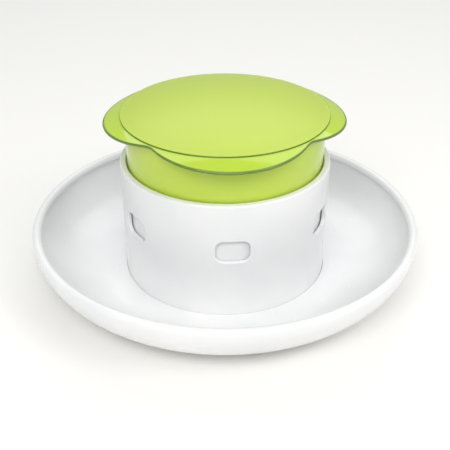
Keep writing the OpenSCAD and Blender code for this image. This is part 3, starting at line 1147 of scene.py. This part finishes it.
@dataclass
class Tray:
    """The saucer tray, with sockets for its feet and recesses for the housing's screws."""

    sizes: Sizes
    rim_radius: float = 135.0
    flat_radius: float = 87.0
    wall: float = 2.8
    bead: float = 3.0
    bead_z: float = 38.0
    bead_fillet: float = 1.6
    fillet_from: float = math.radians(-80)
    boss_radius: float = 5.8
    recess_radius: float = 3.4
    hole_radius: float = 1.5
    socket_radius: float = 9.1
    steps: int = 256
    bowl_steps: int = 40
    bead_steps: int = 26
    fillet_steps: int = 6

    def arc(self, inner: bool, start: float, end: float, count: int) -> list[Flat]:
        """Gives points of the bowl's curve.

        Args:
            inner: Whether they are on its inner curve.
            start: Angle of the first point.
            end: Angle of the last.
            count: Steps between them.

        Returns:
            Radius and height of each point.
        """
        inset = self.wall if inner else 0
        foot = self.sizes.floor_z if inner else self.sizes.under_z
        across, up = self.rim_radius - self.flat_radius - inset, self.bead_z - foot
        angles = [start + (end - start) * i / count for i in range(count + 1)]
        return [(self.flat_radius + across * math.cos(a), self.bead_z + up * math.sin(a)) for a in angles]

    def rim(self) -> tuple[list[Flat], float]:
        """Gives the rolled rim and the fillet under it.

        The fillet touches the bead and the bowl's inner curve, so its place on that curve is looked
        for by halving, from the angle fillet_from up.

        Returns:
            The points from the outer curve over the rim to the inner curve, and the inner curve's
            angle where they end.
        """
        centre = Vector((self.rim_radius - self.bead, self.bead_z))
        low, high = self.fillet_from, 0.0
        for _ in range(HALVINGS):
            angle = (low + high) / 2
            here, near = (Vector(p) for p in self.arc(True, angle, angle + NEARBY, 1))
            along = (near - here).normalized()
            heart = here + Vector((-along.y, along.x)) * self.bead_fillet
            if (heart - centre).length > self.bead + self.bead_fillet:
                low = angle
            else:
                high = angle
        touch = centre + (heart - centre).normalized() * self.bead
        stop = math.atan2(touch.y - centre.y, touch.x - centre.x) % TURN
        start = math.atan2(touch.y - heart.y, touch.x - heart.x)
        end = math.atan2(here.y - heart.y, here.x - heart.x)
        sweep = (end - start + math.pi) % TURN - math.pi
        over = [stop * k / self.bead_steps for k in range(1, self.bead_steps + 1)]
        under = [start + sweep * k / self.fillet_steps for k in range(1, self.fillet_steps)]
        rounds = [(centre, self.bead, a) for a in over] + [(heart, self.bead_fillet, a) for a in under]
        return [(c.x + r * math.cos(a), c.y + r * math.sin(a)) for c, r, a in rounds], angle

    def outline(self) -> list[Flat]:
        """Gives the tray's section, from the axis underneath round to the axis on the floor.

        Returns:
            Radius and height of each point.
        """
        s = self.sizes
        rim, meet = self.rim()
        out, into = s.housing_r + s.rest_gap / 2, s.bore_r - s.rest_gap / 2
        low = s.floor_z - s.housing_groove
        under = rounded([(0, s.under_z, 0), (self.flat_radius, s.under_z, 0)])[:-1]
        groove = [(out, s.floor_z, 0.2), (out, low, 0.15), (into, low, 0.15), (into, s.floor_z, 0.2)]
        floor = rounded([(self.flat_radius, s.floor_z, 0), *groove, (0, s.floor_z, 0)], steps=3)[1:]
        foot, steps = -TURN / 4, self.bowl_steps
        return under + self.arc(False, foot, 0, steps) + rim + self.arc(True, meet, foot, steps) + floor

    def build(self) -> list[bpy.types.Object]:
        """Makes the tray.

        Returns:
            The tray.
        """
        s = self.sizes
        tray = lathe(self.outline(), self.steps).build("tray_bowl")
        low, top, wide = s.floor_z - BITE, s.boss_top, self.boss_radius
        boss = lathe(rounded([(0, low, 0), (wide, low, 0), (wide, top, 0.4), (0, top, 0)], steps=3), 48)
        carve(tray, boss.moved(s.screw_circle).around(s.screws, s.screw_first), add=True)
        seat, end, head, hole = s.head_seat, top + BITE, self.recess_radius, self.hole_radius
        recess = lathe([(0, -BITE), (head, -BITE), (head, seat), (hole, seat), (hole, end), (0, end)], 48)
        carve(tray, recess.moved(s.screw_circle).around(s.screws, s.screw_first))
        socket = rod(self.socket_radius, s.under_z - BITE, s.under_z + s.foot_socket, 64)
        carve(tray, socket.moved(s.foot_circle).around(s.screws, s.screw_first))
        return [dress(tray, Body.BASE, TRAY_WHITE, "tray")]


@dataclass
class Feet:
    """Four round rubber feet, glued into sockets under the tray."""

    sizes: Sizes
    ring: Tree
    radius: float = 9.0
    tread: float = 6.4
    dish: float = 5.6
    dish_z: float = 0.25
    count: int = 4

    def build(self) -> list[bpy.types.Object]:
        """Makes the feet, each with a rounded tread and a shallow dished middle.

        Returns:
            The feet as one object.
        """
        s = self.sizes
        top = s.under_z + s.foot_socket
        dish = [(0, self.dish_z, 0), (self.dish, self.dish_z, 1.2), (self.tread, 0, 0.6)]
        side = [(self.radius, 0, 1.0), (self.radius, top, 0.1), (0, top, 0)]
        feet = lathe(rounded(dish + side, steps=4, margin=0.1), 48).moved(s.foot_circle).build("feet")
        self.ring.shape(feet, RUBBER, Count=self.count, First_angle=s.screw_first)
        return [dress(feet, Body.BASE, RUBBER, *(f"foot_{i + 1}" for i in range(self.count)))]


@dataclass
class Housing:
    """The round housing with its six outlets, guide keys and screw bosses."""

    sizes: Sizes
    ring: Tree
    band: float = 12.0
    root: float = 1.3
    key_width: float = 3.0
    key_depth: float = 1.6
    boss_radius: float = 5.0
    boss_top: float = 25.5
    boss_roof: float = 1.6
    boss_edge: float = 0.4
    bore: float = 1.5
    web: float = 3.0
    web_start: float = 2.0

    def build(self) -> list[bpy.types.Object]:
        """Makes the housing.

        Returns:
            The housing.
        """
        s = self.sizes
        window = Window(sill=s.outlet_sill)
        low, high = s.outlet_sill - self.band, s.outlet_sill + window.height + self.band
        shell = window.wall(s.housing_r, s.bore_r, low, high)
        mouth = [(s.housing_r, s.housing_top, 1.2), (s.lip_r, s.housing_top, 0.6)]
        lip = [(s.lip_r, s.lip_z, 0.2), (s.bore_r, s.lip_z, 0.2)]
        shell.join(window.plain(rounded([(s.housing_r, high, 0), *mouth, *lip, (s.bore_r, high, 0)])))
        foot = s.floor_z - s.housing_groove
        ends = [(s.bore_r, foot, 0.2), (s.housing_r, foot, 0.2)]
        shell.join(window.plain(rounded([(s.bore_r, low, 0), *ends, (s.housing_r, low, 0)])))
        housing = shell.build("housing_shell")
        merge(housing, self.keys(), self.bosses())
        return [dress(housing, Body.BASE, WHITE, "housing")]

    def keys(self) -> bpy.types.Object:
        """Makes the keys inside the wall, on which the drum slides without turning.

        Returns:
            The keys as one object.
        """
        s = self.sizes
        low, top = s.drum_z - s.press_travel, s.window_top - s.press_travel - s.rest_gap
        half = self.key_width / 2
        key = block((s.bore_r - self.key_depth, -half, low), (s.bore_r + self.root, half, top))
        return self.ring.shape(key.build("keys"), WHITE, Count=s.keys, First_angle=0.0)

    def bosses(self) -> bpy.types.Object:
        """Makes the closed bosses for the four screws, each with a web to the wall.

        Returns:
            The bosses as one object.
        """
        s = self.sizes
        roof, top, wide, half = self.boss_top - self.boss_roof, self.boss_top, self.boss_radius, self.web / 2
        hole = [(0, roof, 0), (self.bore, roof, 0), (self.bore, s.plate_top, 0.2)]
        side = [(wide, s.plate_top, 0.3), (wide, top, self.boss_edge), (0, top, 0)]
        boss = lathe(rounded(hole + side, steps=3), 48).moved(s.screw_circle)
        near, far = s.screw_circle + self.web_start, s.bore_r + self.root
        boss.join(block((near, -half, s.plate_top), (far, half, top - self.boss_edge)))
        return self.ring.shape(boss.build("bosses"), WHITE, Count=s.screws, First_angle=s.screw_first)


@dataclass(frozen=True)
class PanScrew:
    """A pan-head screw with a cross recess and a rolled thread, head down.

    The neck, the thread's root and the taper of the tip are shares of the radius. The rounding of the
    head and the depth that its recess leaves are shares of the head's height. The shank has steps
    points round it, and rings rows of them to a turn of the thread.
    """

    radius: float
    head_radius: float
    head_high: float
    length: float
    pitch: float
    plain: float = 0.6
    root: float = 0.8
    neck: float = 0.86
    taper: float = 0.45
    crown: float = 0.55
    recess_left: float = 0.4
    slot: float = 0.42
    steps: int = 24
    rings: int = 6

    def shell(self) -> Shell:
        """Makes the screw's shell, with its head's seat at height 0.

        Returns:
            The shell.
        """
        rise = self.pitch / self.rings
        neck, taper, crown = self.radius * self.neck, self.radius * self.taper, self.head_high * self.crown
        count = int((self.length - self.plain - self.radius) / rise)
        top = [(0, -self.head_high, 0), (self.head_radius, -self.head_high, crown)]
        seat = [(self.head_radius, 0, 0.15), (neck, 0, 0.1), (neck, self.plain, 0)]
        shank = [(self.radius, self.plain + rise * (i + 1)) for i in range(count)]
        tip = [(taper, self.length - taper), (0, self.length)]
        shell = lathe(rounded(top + seat, margin=0.08) + shank + tip, self.steps)
        last = shank[-1][1]

        def thread(x: float, y: float, z: float) -> Point:
            """Moves a point of the shank in towards the thread's root."""
            if not self.plain < z < last + TINY:
                return x, y, z
            phase = (z / self.pitch - math.atan2(y, x) / TURN) % 1
            share = self.root + (1 - self.root) * abs(2 * phase - 1)
            return x * share, y * share, z

        shell.points = [thread(*p) for p in shell.points]
        return shell

    def cross(self) -> tuple[Shell, Shell]:
        """Makes the two bars that cut the cross recess; no face of one lies in a face of the other.

        Returns:
            The bar along X and the bar along Y.
        """
        reach, half = self.head_radius / 2, self.slot
        low, top = -self.head_high - BITE, -self.head_high * self.recess_left
        along_x = block((-reach, -half, low), (reach, half, top))
        return along_x, block((-half, -reach, low - BITE / 2), (half, reach, top - BITE / 50))

    def build(
        self, name: str, away: float, up: float, count: int, first: float, ring: Tree
    ) -> bpy.types.Object:
        """Makes a circle of screws.

        Args:
            name: The piece's name.
            away: Radius of the circle.
            up: Height of the heads' seat.
            count: How many screws.
            first: Angle of the first.
            ring: The tree that copies them.

        Returns:
            The screws as one object.
        """
        screws = self.shell().moved(away, 0, up).build(name)
        for bar in self.cross():
            carve(screws, bar.moved(away, 0, up))
        return ring.shape(screws, ZINC, Count=count, First_angle=first)


@dataclass
class Mechanism:
    """What carries and springs the drum: the post plate, its screws, spring, washer and buffer."""

    sizes: Sizes
    ring: Tree
    plate_radius: float = 62.0
    post_wall: float = 2.4
    post_top: float = 73.3
    collar_wall: float = 1.6
    collar_high: float = 2.0
    hole_radius: float = 1.5
    turns: int = 8
    turn_steps: int = 48
    close_pitch: float = 2.6
    spring_keep: float = 33 / 48
    washer_in_r: float = 18.0
    washer_r: float = 26.0
    buffer_in_r: float = 15.1
    buffer_high: float = 1.8

    def plate(self) -> bpy.types.Object:
        """Makes the plate with its guide post and the collar that centres the spring.

        Returns:
            The plate.
        """
        s = self.sizes
        inner = s.spring_r + s.wire_r + s.rest_gap
        outer = inner + self.collar_wall
        low, top, lip = s.boss_top, s.plate_top, s.plate_top + self.collar_high
        hollow, post = s.post_r - self.post_wall, s.post_r
        disc = [(hollow, low, 0.3), (self.plate_radius, low, 0.3), (self.plate_radius, top, 0.6)]
        collar = [(outer, top, 0.5), (outer, lip, 0.4), (inner, lip, 0.4), (inner, top, 0.1)]
        guide = [(post, top, 0.2), (post, self.post_top, 0.8), (hollow, self.post_top, 0.4)]
        section = rounded(disc + collar + guide, closed=True, steps=4)
        plate = lathe(section, 128, closed=True).build("post_plate_moulding")
        hole = rod(self.hole_radius, low - BITE, top + BITE, 32).moved(s.screw_circle)
        carve(plate, hole.around(s.screws, s.screw_first))
        return dress(plate, Body.BASE, WHITE, "post_plate")

    def screws(self) -> bpy.types.Object:
        """Makes the four screws that hold the housing and the plate to the tray.

        Returns:
            The screws as one object.
        """
        s = self.sizes
        screw = PanScrew(radius=1.4, head_radius=3.0, head_high=2.0, length=16.6, pitch=1.1)
        made = screw.build("housing_screws", s.screw_circle, s.head_seat, s.screws, s.screw_first, self.ring)
        return dress(made, Body.BASE, ZINC, *(f"housing_screw_{i + 1}" for i in range(s.screws)))

    def spring(self) -> bpy.types.Object:
        """Winds the main spring, which flattens as the cover is pressed.

        Returns:
            The spring.
        """
        s = self.sizes
        spring = spring_tree().shape(
            Shell().build("main_spring_coil"),
            WIRE,
            Coil_radius=s.spring_r * MM,
            Wire_radius=s.wire_r * MM,
            Turns=float(self.turns),
            Low=(s.plate_top + s.seat_gap + s.wire_r) * MM,
            High=(s.washer_z - s.seat_gap - s.wire_r) * MM,
            Close_pitch=self.close_pitch * MM,
            Steps=float(self.turn_steps),
        )
        dress(spring, Body.BASE, WIRE, "main_spring")
        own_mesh(spring)
        return spring

    def hoop(
        self, name: str, inner: float, outer: float, low: float, high: float, rounds: Flat
    ) -> bpy.types.Object:
        """Makes a flat ring.

        Args:
            name: The piece's name.
            inner: Inner radius.
            outer: Outer radius.
            low: Height of its underside.
            high: Height of its top.
            rounds: Rounding of its lower and of its upper edges.

        Returns:
            The ring.
        """
        under, over = rounds
        corners = [(inner, low, under), (outer, low, under), (outer, high, over), (inner, high, over)]
        return lathe(rounded(corners, closed=True, steps=4, margin=0.1), 96, closed=True).build(name)

    def build(self) -> list[bpy.types.Object]:
        """Makes every piece of the mechanism.

        Returns:
            The pieces.
        """
        s = self.sizes
        low, top = s.washer_z, s.washer_z + s.washer_t
        washer = self.hoop("spring_washer_ring", self.washer_in_r, self.washer_r, low, top, (0.15, 0.3))
        low, top = s.plate_top, s.plate_top + self.buffer_high
        buffer = self.hoop("buffer_cushion", self.buffer_in_r, s.tube_r, low, top, (0.1, 0.7))
        return [
            self.plate(),
            self.screws(),
            self.spring(),
            dress(washer, Body.DRUM, ZINC, "spring_washer"),
            dress(buffer, Body.BASE, RUBBER, "buffer_ring"),
        ]


@dataclass
class Drum:
    """The drum of treats that slides in the housing: its sleeve, sloping floor, tower and screws."""

    sizes: Sizes
    ring: Tree
    band_under: float = 8.0
    ledge: float = 2.2
    ledge_t: float = 1.6
    rebate_play: float = 0.28
    floor_play: float = 0.2
    groove_width: float = 3.6
    groove_depth: float = 1.9
    boss_radius: float = 3.6
    boss_high: float = 12.0
    boss_roof: float = 1.6
    bore: float = 1.2
    slope_radius: float = 57.8
    slope: float = math.radians(34)
    tower_radius: float = 39.0
    tower_wall: float = 2.2
    tower_top: float = 110.5
    tower_round: float = 6.0
    tube_z: float = 28.8
    ribs: int = 6
    rib_t: float = 1.6
    rib_root: float = 1.2

    def sleeve(self) -> bpy.types.Object:
        """Makes the sleeve with its windows, the ledge for the lime ring and grooves for the keys.

        Returns:
            The sleeve.
        """
        s = self.sizes
        window = Window(sill=s.window_sill, edge=0.6)
        low, high = s.window_sill - self.band_under, s.window_top + self.ledge_t
        shell = window.wall(s.drum_r, s.drum_in_r, low, high)
        rebate, ledge = s.ring_foot_r + self.rebate_play, s.drum_in_r - self.ledge
        under = s.ring_z - self.ledge_t
        top = [(s.drum_r, s.drum_top, 0.4), (rebate, s.drum_top, 0.3), (rebate, s.ring_z, 0.1)]
        step = [(ledge, s.ring_z, 0.3), (ledge, under, 0.3), (s.drum_in_r, under, 0.2)]
        over = [(s.drum_r, high, 0), *top, *step, (s.drum_in_r, high, 0)]
        shell.join(window.plain(rounded(over, steps=3, margin=0.15)))
        ends = [(s.drum_in_r, s.drum_z, 0.4), (s.drum_r, s.drum_z, 0.4)]
        shell.join(window.plain(rounded([(s.drum_in_r, low, 0), *ends, (s.drum_r, low, 0)])))
        sleeve = shell.build("drum_sleeve")
        half = self.groove_width / 2
        into, out = s.bore_r - self.groove_depth, s.drum_r + 2 * BITE
        groove = block((into, -half, s.drum_z - BITE), (out, half, s.window_top))
        carve(sleeve, groove.around(s.keys))
        merge(sleeve, self.bosses())
        return dress(sleeve, Body.DRUM, WHITE, "drum")

    def bosses(self) -> bpy.types.Object:
        """Makes the closed bosses that take the floor's screws.

        Returns:
            The bosses as one object.
        """
        s = self.sizes
        low, top = s.window_sill, s.window_sill + self.boss_high
        roof, wide = top - self.boss_roof, self.boss_radius
        hole = [(0, roof, 0), (self.bore, roof, 0), (self.bore, low, 0.2)]
        boss = lathe(rounded(hole + [(wide, low, 0.2), (wide, top, 0.5), (0, top, 0)], steps=3), 40)
        made = boss.moved(s.small_circle).build("drum_bosses")
        return self.ring.shape(made, WHITE, Count=s.keys, First_angle=0.0)

    def slope_z(self, radius: float) -> float:
        """Height of the sloping floor at a radius."""
        return self.sizes.window_sill + (self.slope_radius - radius) * math.tan(self.slope)

    def floor(self) -> bpy.types.Object:
        """Makes the sloping floor, the tower over the spring, the guide tube and its ribs.

        Returns:
            The floor.
        """
        s = self.sizes
        edge, sill, under = s.drum_in_r - self.floor_play, s.window_sill, s.window_sill - s.floor_t
        tower, wall = self.tower_radius, self.tower_wall
        inner, ceiling = tower - wall, self.tower_top - wall
        drop = s.floor_t / math.cos(self.slope)
        mitre = (drop - s.floor_t) / math.tan(self.slope)
        below = [
            (0, ceiling, 0),
            (inner, ceiling, self.tower_round),
            (inner, self.slope_z(inner) - drop, 0.6),
            (self.slope_radius - mitre, under, 1.0),
            (edge, under, 0.3),
        ]
        above = [
            (edge, sill, 0.3),
            (self.slope_radius, sill, 2.0),
            (tower, self.slope_z(tower), 2.0),
            (tower, self.tower_top, self.tower_round),
            (0, self.tower_top, 0),
        ]
        floor = lathe(rounded(below + above, steps=8), 144).build("treat_cone")
        hole = rod(self.bore, under - BITE, sill + BITE, 32)
        carve(floor, hole.moved(s.small_circle).around(s.keys))
        foot = [(s.tube_in_r, self.tube_z, 0.3), (s.tube_r, self.tube_z, 0.5)]
        head = [(s.tube_r, ceiling + BITE, 0), (s.tube_in_r, ceiling + BITE, 0)]
        tube = lathe(rounded(foot + head, closed=True, steps=3), 96, closed=True).build("guide_tube")
        merge(floor, tube, self.tower_ribs(ceiling))
        return dress(floor, Body.DRUM, WHITE, "treat_floor")

    def tower_ribs(self, ceiling: float) -> bpy.types.Object:
        """Makes the ribs between the guide tube and the tower, which the washer bears on.

        Args:
            ceiling: Height of the tower's inside.

        Returns:
            The ribs as one object.
        """
        s = self.sizes
        half_wall = self.tower_wall / 2
        near, far, top = s.tube_r - self.rib_root, self.tower_radius - half_wall, ceiling + half_wall
        low, bend = s.washer_z + s.washer_t, self.tower_round
        side = [(near, low), (far, low), (far, ceiling - bend), (far - bend, top), (near, top)]
        left, right = ([(x, y, z) for x, z in side] for y in (self.rib_t / 2, -self.rib_t / 2))
        ribs = Shell().slab(left, right).build("ribs")
        self.ring.shape(ribs, WHITE, Count=self.ribs, First_angle=0.0)
        turn_outwards(ribs)
        return ribs

    def screws(self) -> bpy.types.Object:
        """Makes the three screws that hold the floor to the sleeve.

        Returns:
            The screws as one object.
        """
        s = self.sizes
        screw = PanScrew(radius=1.1, head_radius=2.5, head_high=1.7, length=12.1, pitch=0.9)
        made = screw.build("drum_screws", s.small_circle, s.window_sill - s.floor_t, s.keys, 0.0, self.ring)
        return dress(made, Body.DRUM, ZINC, *(f"drum_screw_{i + 1}" for i in range(s.keys)))

    def build(self) -> list[bpy.types.Object]:
        """Makes every piece of the drum."""
        return [self.sleeve(), self.floor(), self.screws()]


@dataclass
class Lid:
    """The lime ring on the drum, the lobed cover that lifts off it, and the cover's seal.

    Beside the skirt and inside the disc's step the cover's curve runs on for run_out before a corner
    is rounded, and the thin band round the disc starts band_start past the step. The lobes are drawn
    out from hold past the disc. Painted edge shade reaches edge_shade_high into the ring's wall from
    both its ends, and edge_shade_near beside the disc's step and the rim.
    """

    sizes: Sizes
    ball_radius: float = 220.0
    thickness: float = 2.6
    disc_radius: float = 69.4
    disc_step: float = 1.0
    tip_radius: float = 81.0
    notch_radius: float = 70.0
    notch_blend: float = 5.0
    lobes: int = 4
    edge: float = 0.75
    skirt_drop: float = 10.0
    skirt_wall: float = 2.2
    seal_sill: float = 2.2
    seal_high: float = 2.4
    seal_deep: float = 0.9
    seal_stand: float = 0.3
    skirt_gap: float = 0.5
    run_out: float = 1.2
    band_start: float = 0.9
    # how far the painted edge shade reaches on the ring and beside the cover's edges
    hold: float = 0.3
    edge_shade_high: float = 0.5
    edge_shade_near: float = 0.2
    steps: int = 384
    edge_steps: int = 10

    @property
    def inside(self) -> float:
        """Radius of the ball that the cover's underside is part of."""
        return self.ball_radius - self.thickness

    @property
    def centre_z(self) -> float:
        """Height of the ball's middle."""
        s = self.sizes
        return s.ring_top + s.rest_gap - math.sqrt(self.inside**2 - s.ring_top_r**2)

    @property
    def skirt_radius(self) -> float:
        """Outer radius of the skirt inside the ring."""
        s = self.sizes
        flare = (s.ring_top_r - s.ring_foot_r) * self.skirt_drop / (s.ring_top - s.ring_z)
        return s.ring_top_r - flare - s.ring_wall - self.skirt_gap

    @property
    def skirt_z(self) -> float:
        """Height of the skirt's foot."""
        return self.sizes.ring_top - self.skirt_drop

    def ring(self) -> bpy.types.Object:
        """Makes the see-through ring, which leans outwards.

        Returns:
            The ring.
        """
        s = self.sizes
        wall, low, top = s.ring_wall, s.ring_z, s.ring_top
        foot = [(s.ring_foot_r - wall, low, 0.3), (s.ring_foot_r, low, 0.3)]
        head = [(s.ring_top_r, top, 0.6), (s.ring_top_r - wall, top, 0.6)]
        made = lathe(rounded(foot + head, closed=True), 288, closed=True).build("ring_wall")
        # painted shade: the ring's top and bottom edges get the dark rim colour
        paint_edge_shade(made, lambda r, z: float(z > top - self.edge_shade_high or z < low + self.edge_shade_high))
        return dress(made, Body.DRUM, RING_LIME, "view_ring")

    def on_ball(self, radius: float, ball: float, lift: float = 0.0) -> Flat:
        """A point of the cover's curve at a radius."""
        return radius, self.centre_z + lift + math.sqrt(ball**2 - radius * radius)

    def dome(self, low: float, high: float, count: int, ball: float, lift: float = 0.0) -> list[Flat]:
        """Gives points along the cover's curve.

        Args:
            low: Radius of the first point.
            high: Radius of the last.
            count: Steps between them.
            ball: Radius of the ball.
            lift: How much higher the curve lies than the ball.

        Returns:
            Radius and height of each point.
        """
        return [self.on_ball(low + (high - low) * k / count, ball, lift) for k in range(count + 1)]

    def outline(self) -> list[Flat]:
        """Gives the cover's section, from the axis underneath round its edge to the axis on top.

        Returns:
            Radius and height of each point.
        """
        skirt, foot, seal = self.skirt_radius, self.skirt_z, self.skirt_z + self.seal_sill
        inner, back, over = skirt - self.skirt_wall, skirt - self.seal_deep, seal + self.seal_high
        near, far = inner - self.run_out, skirt + self.run_out
        rim, disc, ball = self.tip_radius - self.edge, self.disc_radius, self.ball_radius
        flat_end = disc - self.run_out
        inward = [
            (*self.on_ball(near, self.inside), 0),
            (*self.on_ball(inner, self.inside), 0.5),
            (inner, foot, 0.5),
            (skirt, foot, 0.7),
        ]
        groove = [(skirt, seal, 0.15), (back, seal, 0.1), (back, over, 0.1), (skirt, over, 0.15)]
        outward = [(*self.on_ball(skirt, self.inside), 0.4), (*self.on_ball(far, self.inside), 0)]
        low, high = Vector(self.on_ball(rim, self.inside)), Vector(self.on_ball(rim, ball, -self.disc_step))
        middle, half = (low + high) / 2, (high - low).length / 2
        round_over = [math.radians(-90 + 180 * k / self.edge_steps) for k in range(1, self.edge_steps)]
        band = self.dome(rim, disc + self.band_start, 12, ball, -self.disc_step)
        step = [
            (*band[-1], 0),
            (*self.on_ball(disc, ball, -self.disc_step), 0.25),
            (*self.on_ball(disc, ball), 0.45),
            (*self.on_ball(flat_end, ball), 0),
        ]
        return (
            self.dome(0, near, 18, self.inside)[:-1]
            + rounded(inward + groove + outward, steps=3, margin=0.15)
            + self.dome(far, disc, 4, self.inside)[1:]
            + self.dome(disc, rim, 12, self.inside)[1:]
            + [(middle.x + self.edge * math.cos(a), middle.y + half * math.sin(a)) for a in round_over]
            + band[:-1]
            + rounded(step, steps=4, margin=0.1)
            + self.dome(flat_end, 0, 22, ball)[1:]
        )

    def edge_shade_share(self, radius: float, height: float) -> float:
        """Gives the share of painted edge shade of a point: all of it on the rim and on the disc's side.

        Args:
            radius: The point's radius in the turned cover.
            height: The point's height.

        Returns:
            The share from 0 to 1.
        """
        near = self.edge_shade_near
        _, high = self.on_ball(self.disc_radius, self.ball_radius)
        beside = abs(radius - self.disc_radius) < near
        on_side = beside and high - self.disc_step - near < height < high - near / 2
        return float(on_side or radius > self.tip_radius - self.edge - near)

    def cover(self) -> bpy.types.Object:
        """Makes the cover: turned first, then drawn out into its lobes.

        Returns:
            The cover.
        """
        tip, notch = self.tip_radius, self.notch_radius
        offset = (tip**2 - notch**2) / (2 * (tip - notch * math.cos(math.pi / self.lobes)))
        cover = lathe(self.outline(), self.steps, first=FRONT).build("cover_lid")
        # painted shade: the cover's rim and the disc's side get the dark rim colour
        paint_edge_shade(cover, self.edge_shade_share)
        lobe_tree().shape(
            cover,
            COVER_LIME,
            Tip_radius=tip * MM,
            Hold_radius=(self.disc_radius + self.hold) * MM,
            Edge=self.edge * MM,
            Lobe_offset=offset * MM,
            Lobes=float(self.lobes),
            First_angle=FRONT,
            Notch_blend=self.notch_blend * MM,
            Ball_radius=(self.ball_radius - self.thickness / 2) * MM,
        )
        return dress(cover, Body.COVER, COVER_LIME, "cover")

    def seal(self) -> bpy.types.Object:
        """Makes the seal in the skirt's groove, with a rounded lip towards the ring.

        Returns:
            The seal.
        """
        gap = self.sizes.seat_gap
        low = self.skirt_z + self.seal_sill + gap
        high = low + self.seal_high - 2 * gap
        back, lip = self.skirt_radius - self.seal_deep + gap / 2, self.skirt_radius + self.seal_stand
        corners = [(back, low, 0.2), (lip, low, 0.8), (lip, high, 0.8), (back, high, 0.2)]
        made = lathe(rounded(corners, closed=True, margin=0.1), 192, closed=True).build("seal_ring")
        return dress(made, Body.COVER, SILICONE, "cover_seal")

    def build(self) -> list[bpy.types.Object]:
        """Makes every piece of the lid."""
        return [self.ring(), self.cover(), self.seal()]


# ---------------------------------------------------------------- floor, light and camera


@dataclass(frozen=True)
class Softbox:
    """A soft rectangular light that faces the object, in metres and watts."""

    name: str
    place: Point
    width: float
    height: float
    power: float
    tone: str = "#FFFFFF"


@dataclass
class Studio:
    """A pale floor, soft light and the camera, which looks from in front and above. Lengths are in metres."""

    distance: float = 0.5535
    elevation: float = math.radians(31.3)
    azimuth: float = math.radians(-4)
    aim_z: float = 0.030
    lens: float = 61.3
    sensor: float = 36.0
    light_aim_z: float = 0.05
    floor_half: float = 4.0
    floor_rough: float = 0.6
    floor_tone: str = "#F3F2EF"
    air_tone: str = "#F4F6F8"
    air_strength: float = 0.55
    softboxes: tuple[Softbox, ...] = (
        Softbox("back_softbox", (0.1, 1.1, 1.4), 1.8, 1.0, 8),
        Softbox("key_softbox", (1.0, -0.7, 1.2), 0.8, 0.8, 7, "#FFFDF8"),
        Softbox("front_softbox", (-0.3, -1.2, 1.3), 1.4, 0.7, 17, "#FFFEFB"),
    )

    def camera(self) -> None:
        """Adds the camera."""
        data = bpy.data.cameras.new("camera")
        data.lens, data.sensor_width = self.lens, self.sensor
        camera = bpy.data.objects.new("camera", data)
        flat, up = math.cos(self.elevation), math.sin(self.elevation)
        back = Vector((math.sin(self.azimuth) * flat, -math.cos(self.azimuth) * flat, up))
        camera.location = Vector((0, 0, self.aim_z)) + back * self.distance
        camera.rotation_euler = (-back).to_track_quat("-Z", "Y").to_euler()
        bpy.context.scene.collection.objects.link(camera)
        bpy.context.scene.camera = camera

    def hang(self, box: Softbox) -> None:
        """Adds a softbox.

        Args:
            box: What it is.
        """
        data = bpy.data.lights.new(box.name, "AREA")
        data.shape = "RECTANGLE"
        data.size, data.size_y = box.width, box.height
        data.energy = box.power
        data.color = linear(box.tone)[:3]
        light = bpy.data.objects.new(box.name, data)
        light.location = box.place
        back = Vector(box.place) - Vector((0, 0, self.light_aim_z))
        light.rotation_euler = back.to_track_quat("Z", "Y").to_euler()
        bpy.context.scene.collection.objects.link(light)

    def floor(self) -> None:
        """Adds the floor, a matte white board."""
        mesh = bpy.data.meshes.new("floor")
        signs, wide = ((-1, -1), (1, -1), (1, 1), (-1, 1)), self.floor_half
        corners = [(x * wide, y * wide, 0) for x, y in signs]
        mesh.from_pydata(corners, [], [(0, 1, 2, 3)])
        floor = bpy.data.objects.new("floor", mesh)
        bpy.context.scene.collection.objects.link(floor)
        paint = bpy.data.materials.new("matte_board")
        paint.use_nodes = True
        shader = paint.node_tree.nodes["Principled BSDF"]
        shader.inputs["Base Color"].default_value = linear(self.floor_tone)
        shader.inputs["Roughness"].default_value = self.floor_rough
        mesh.materials.append(paint)

    def build(self) -> None:
        """Adds the camera, floor, air and lights."""
        self.camera()
        self.floor()
        world = bpy.data.worlds.new("air")
        world.use_nodes = True
        air = world.node_tree.nodes["Background"]
        air.inputs["Color"].default_value = linear(self.air_tone)
        air.inputs["Strength"].default_value = self.air_strength
        bpy.context.scene.world = world
        for box in self.softboxes:
            self.hang(box)
        bpy.context.scene.view_settings.view_transform = "Standard"


# ---------------------------------------------------------------- the scene


def main() -> None:
    """Builds the studio and every sub-assembly."""
    logging.basicConfig(level=logging.INFO, format="%(name)s: %(message)s")
    sizes = Sizes()
    Studio().build()
    ring = ring_tree()
    ringed = [kind(sizes, ring) for kind in (Feet, Housing, Mechanism, Drum)]
    for part in (Tray(sizes), *ringed, Lid(sizes)):
        for piece in part.build():
            piece.data.calc_loop_triangles()
            count, stands_for = len(piece.data.loop_triangles), list(piece["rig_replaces"])
            LOG.info("%s: %d triangles, stands for %s", piece.name, count, stands_for)


if __name__ == "__main__":
    main()
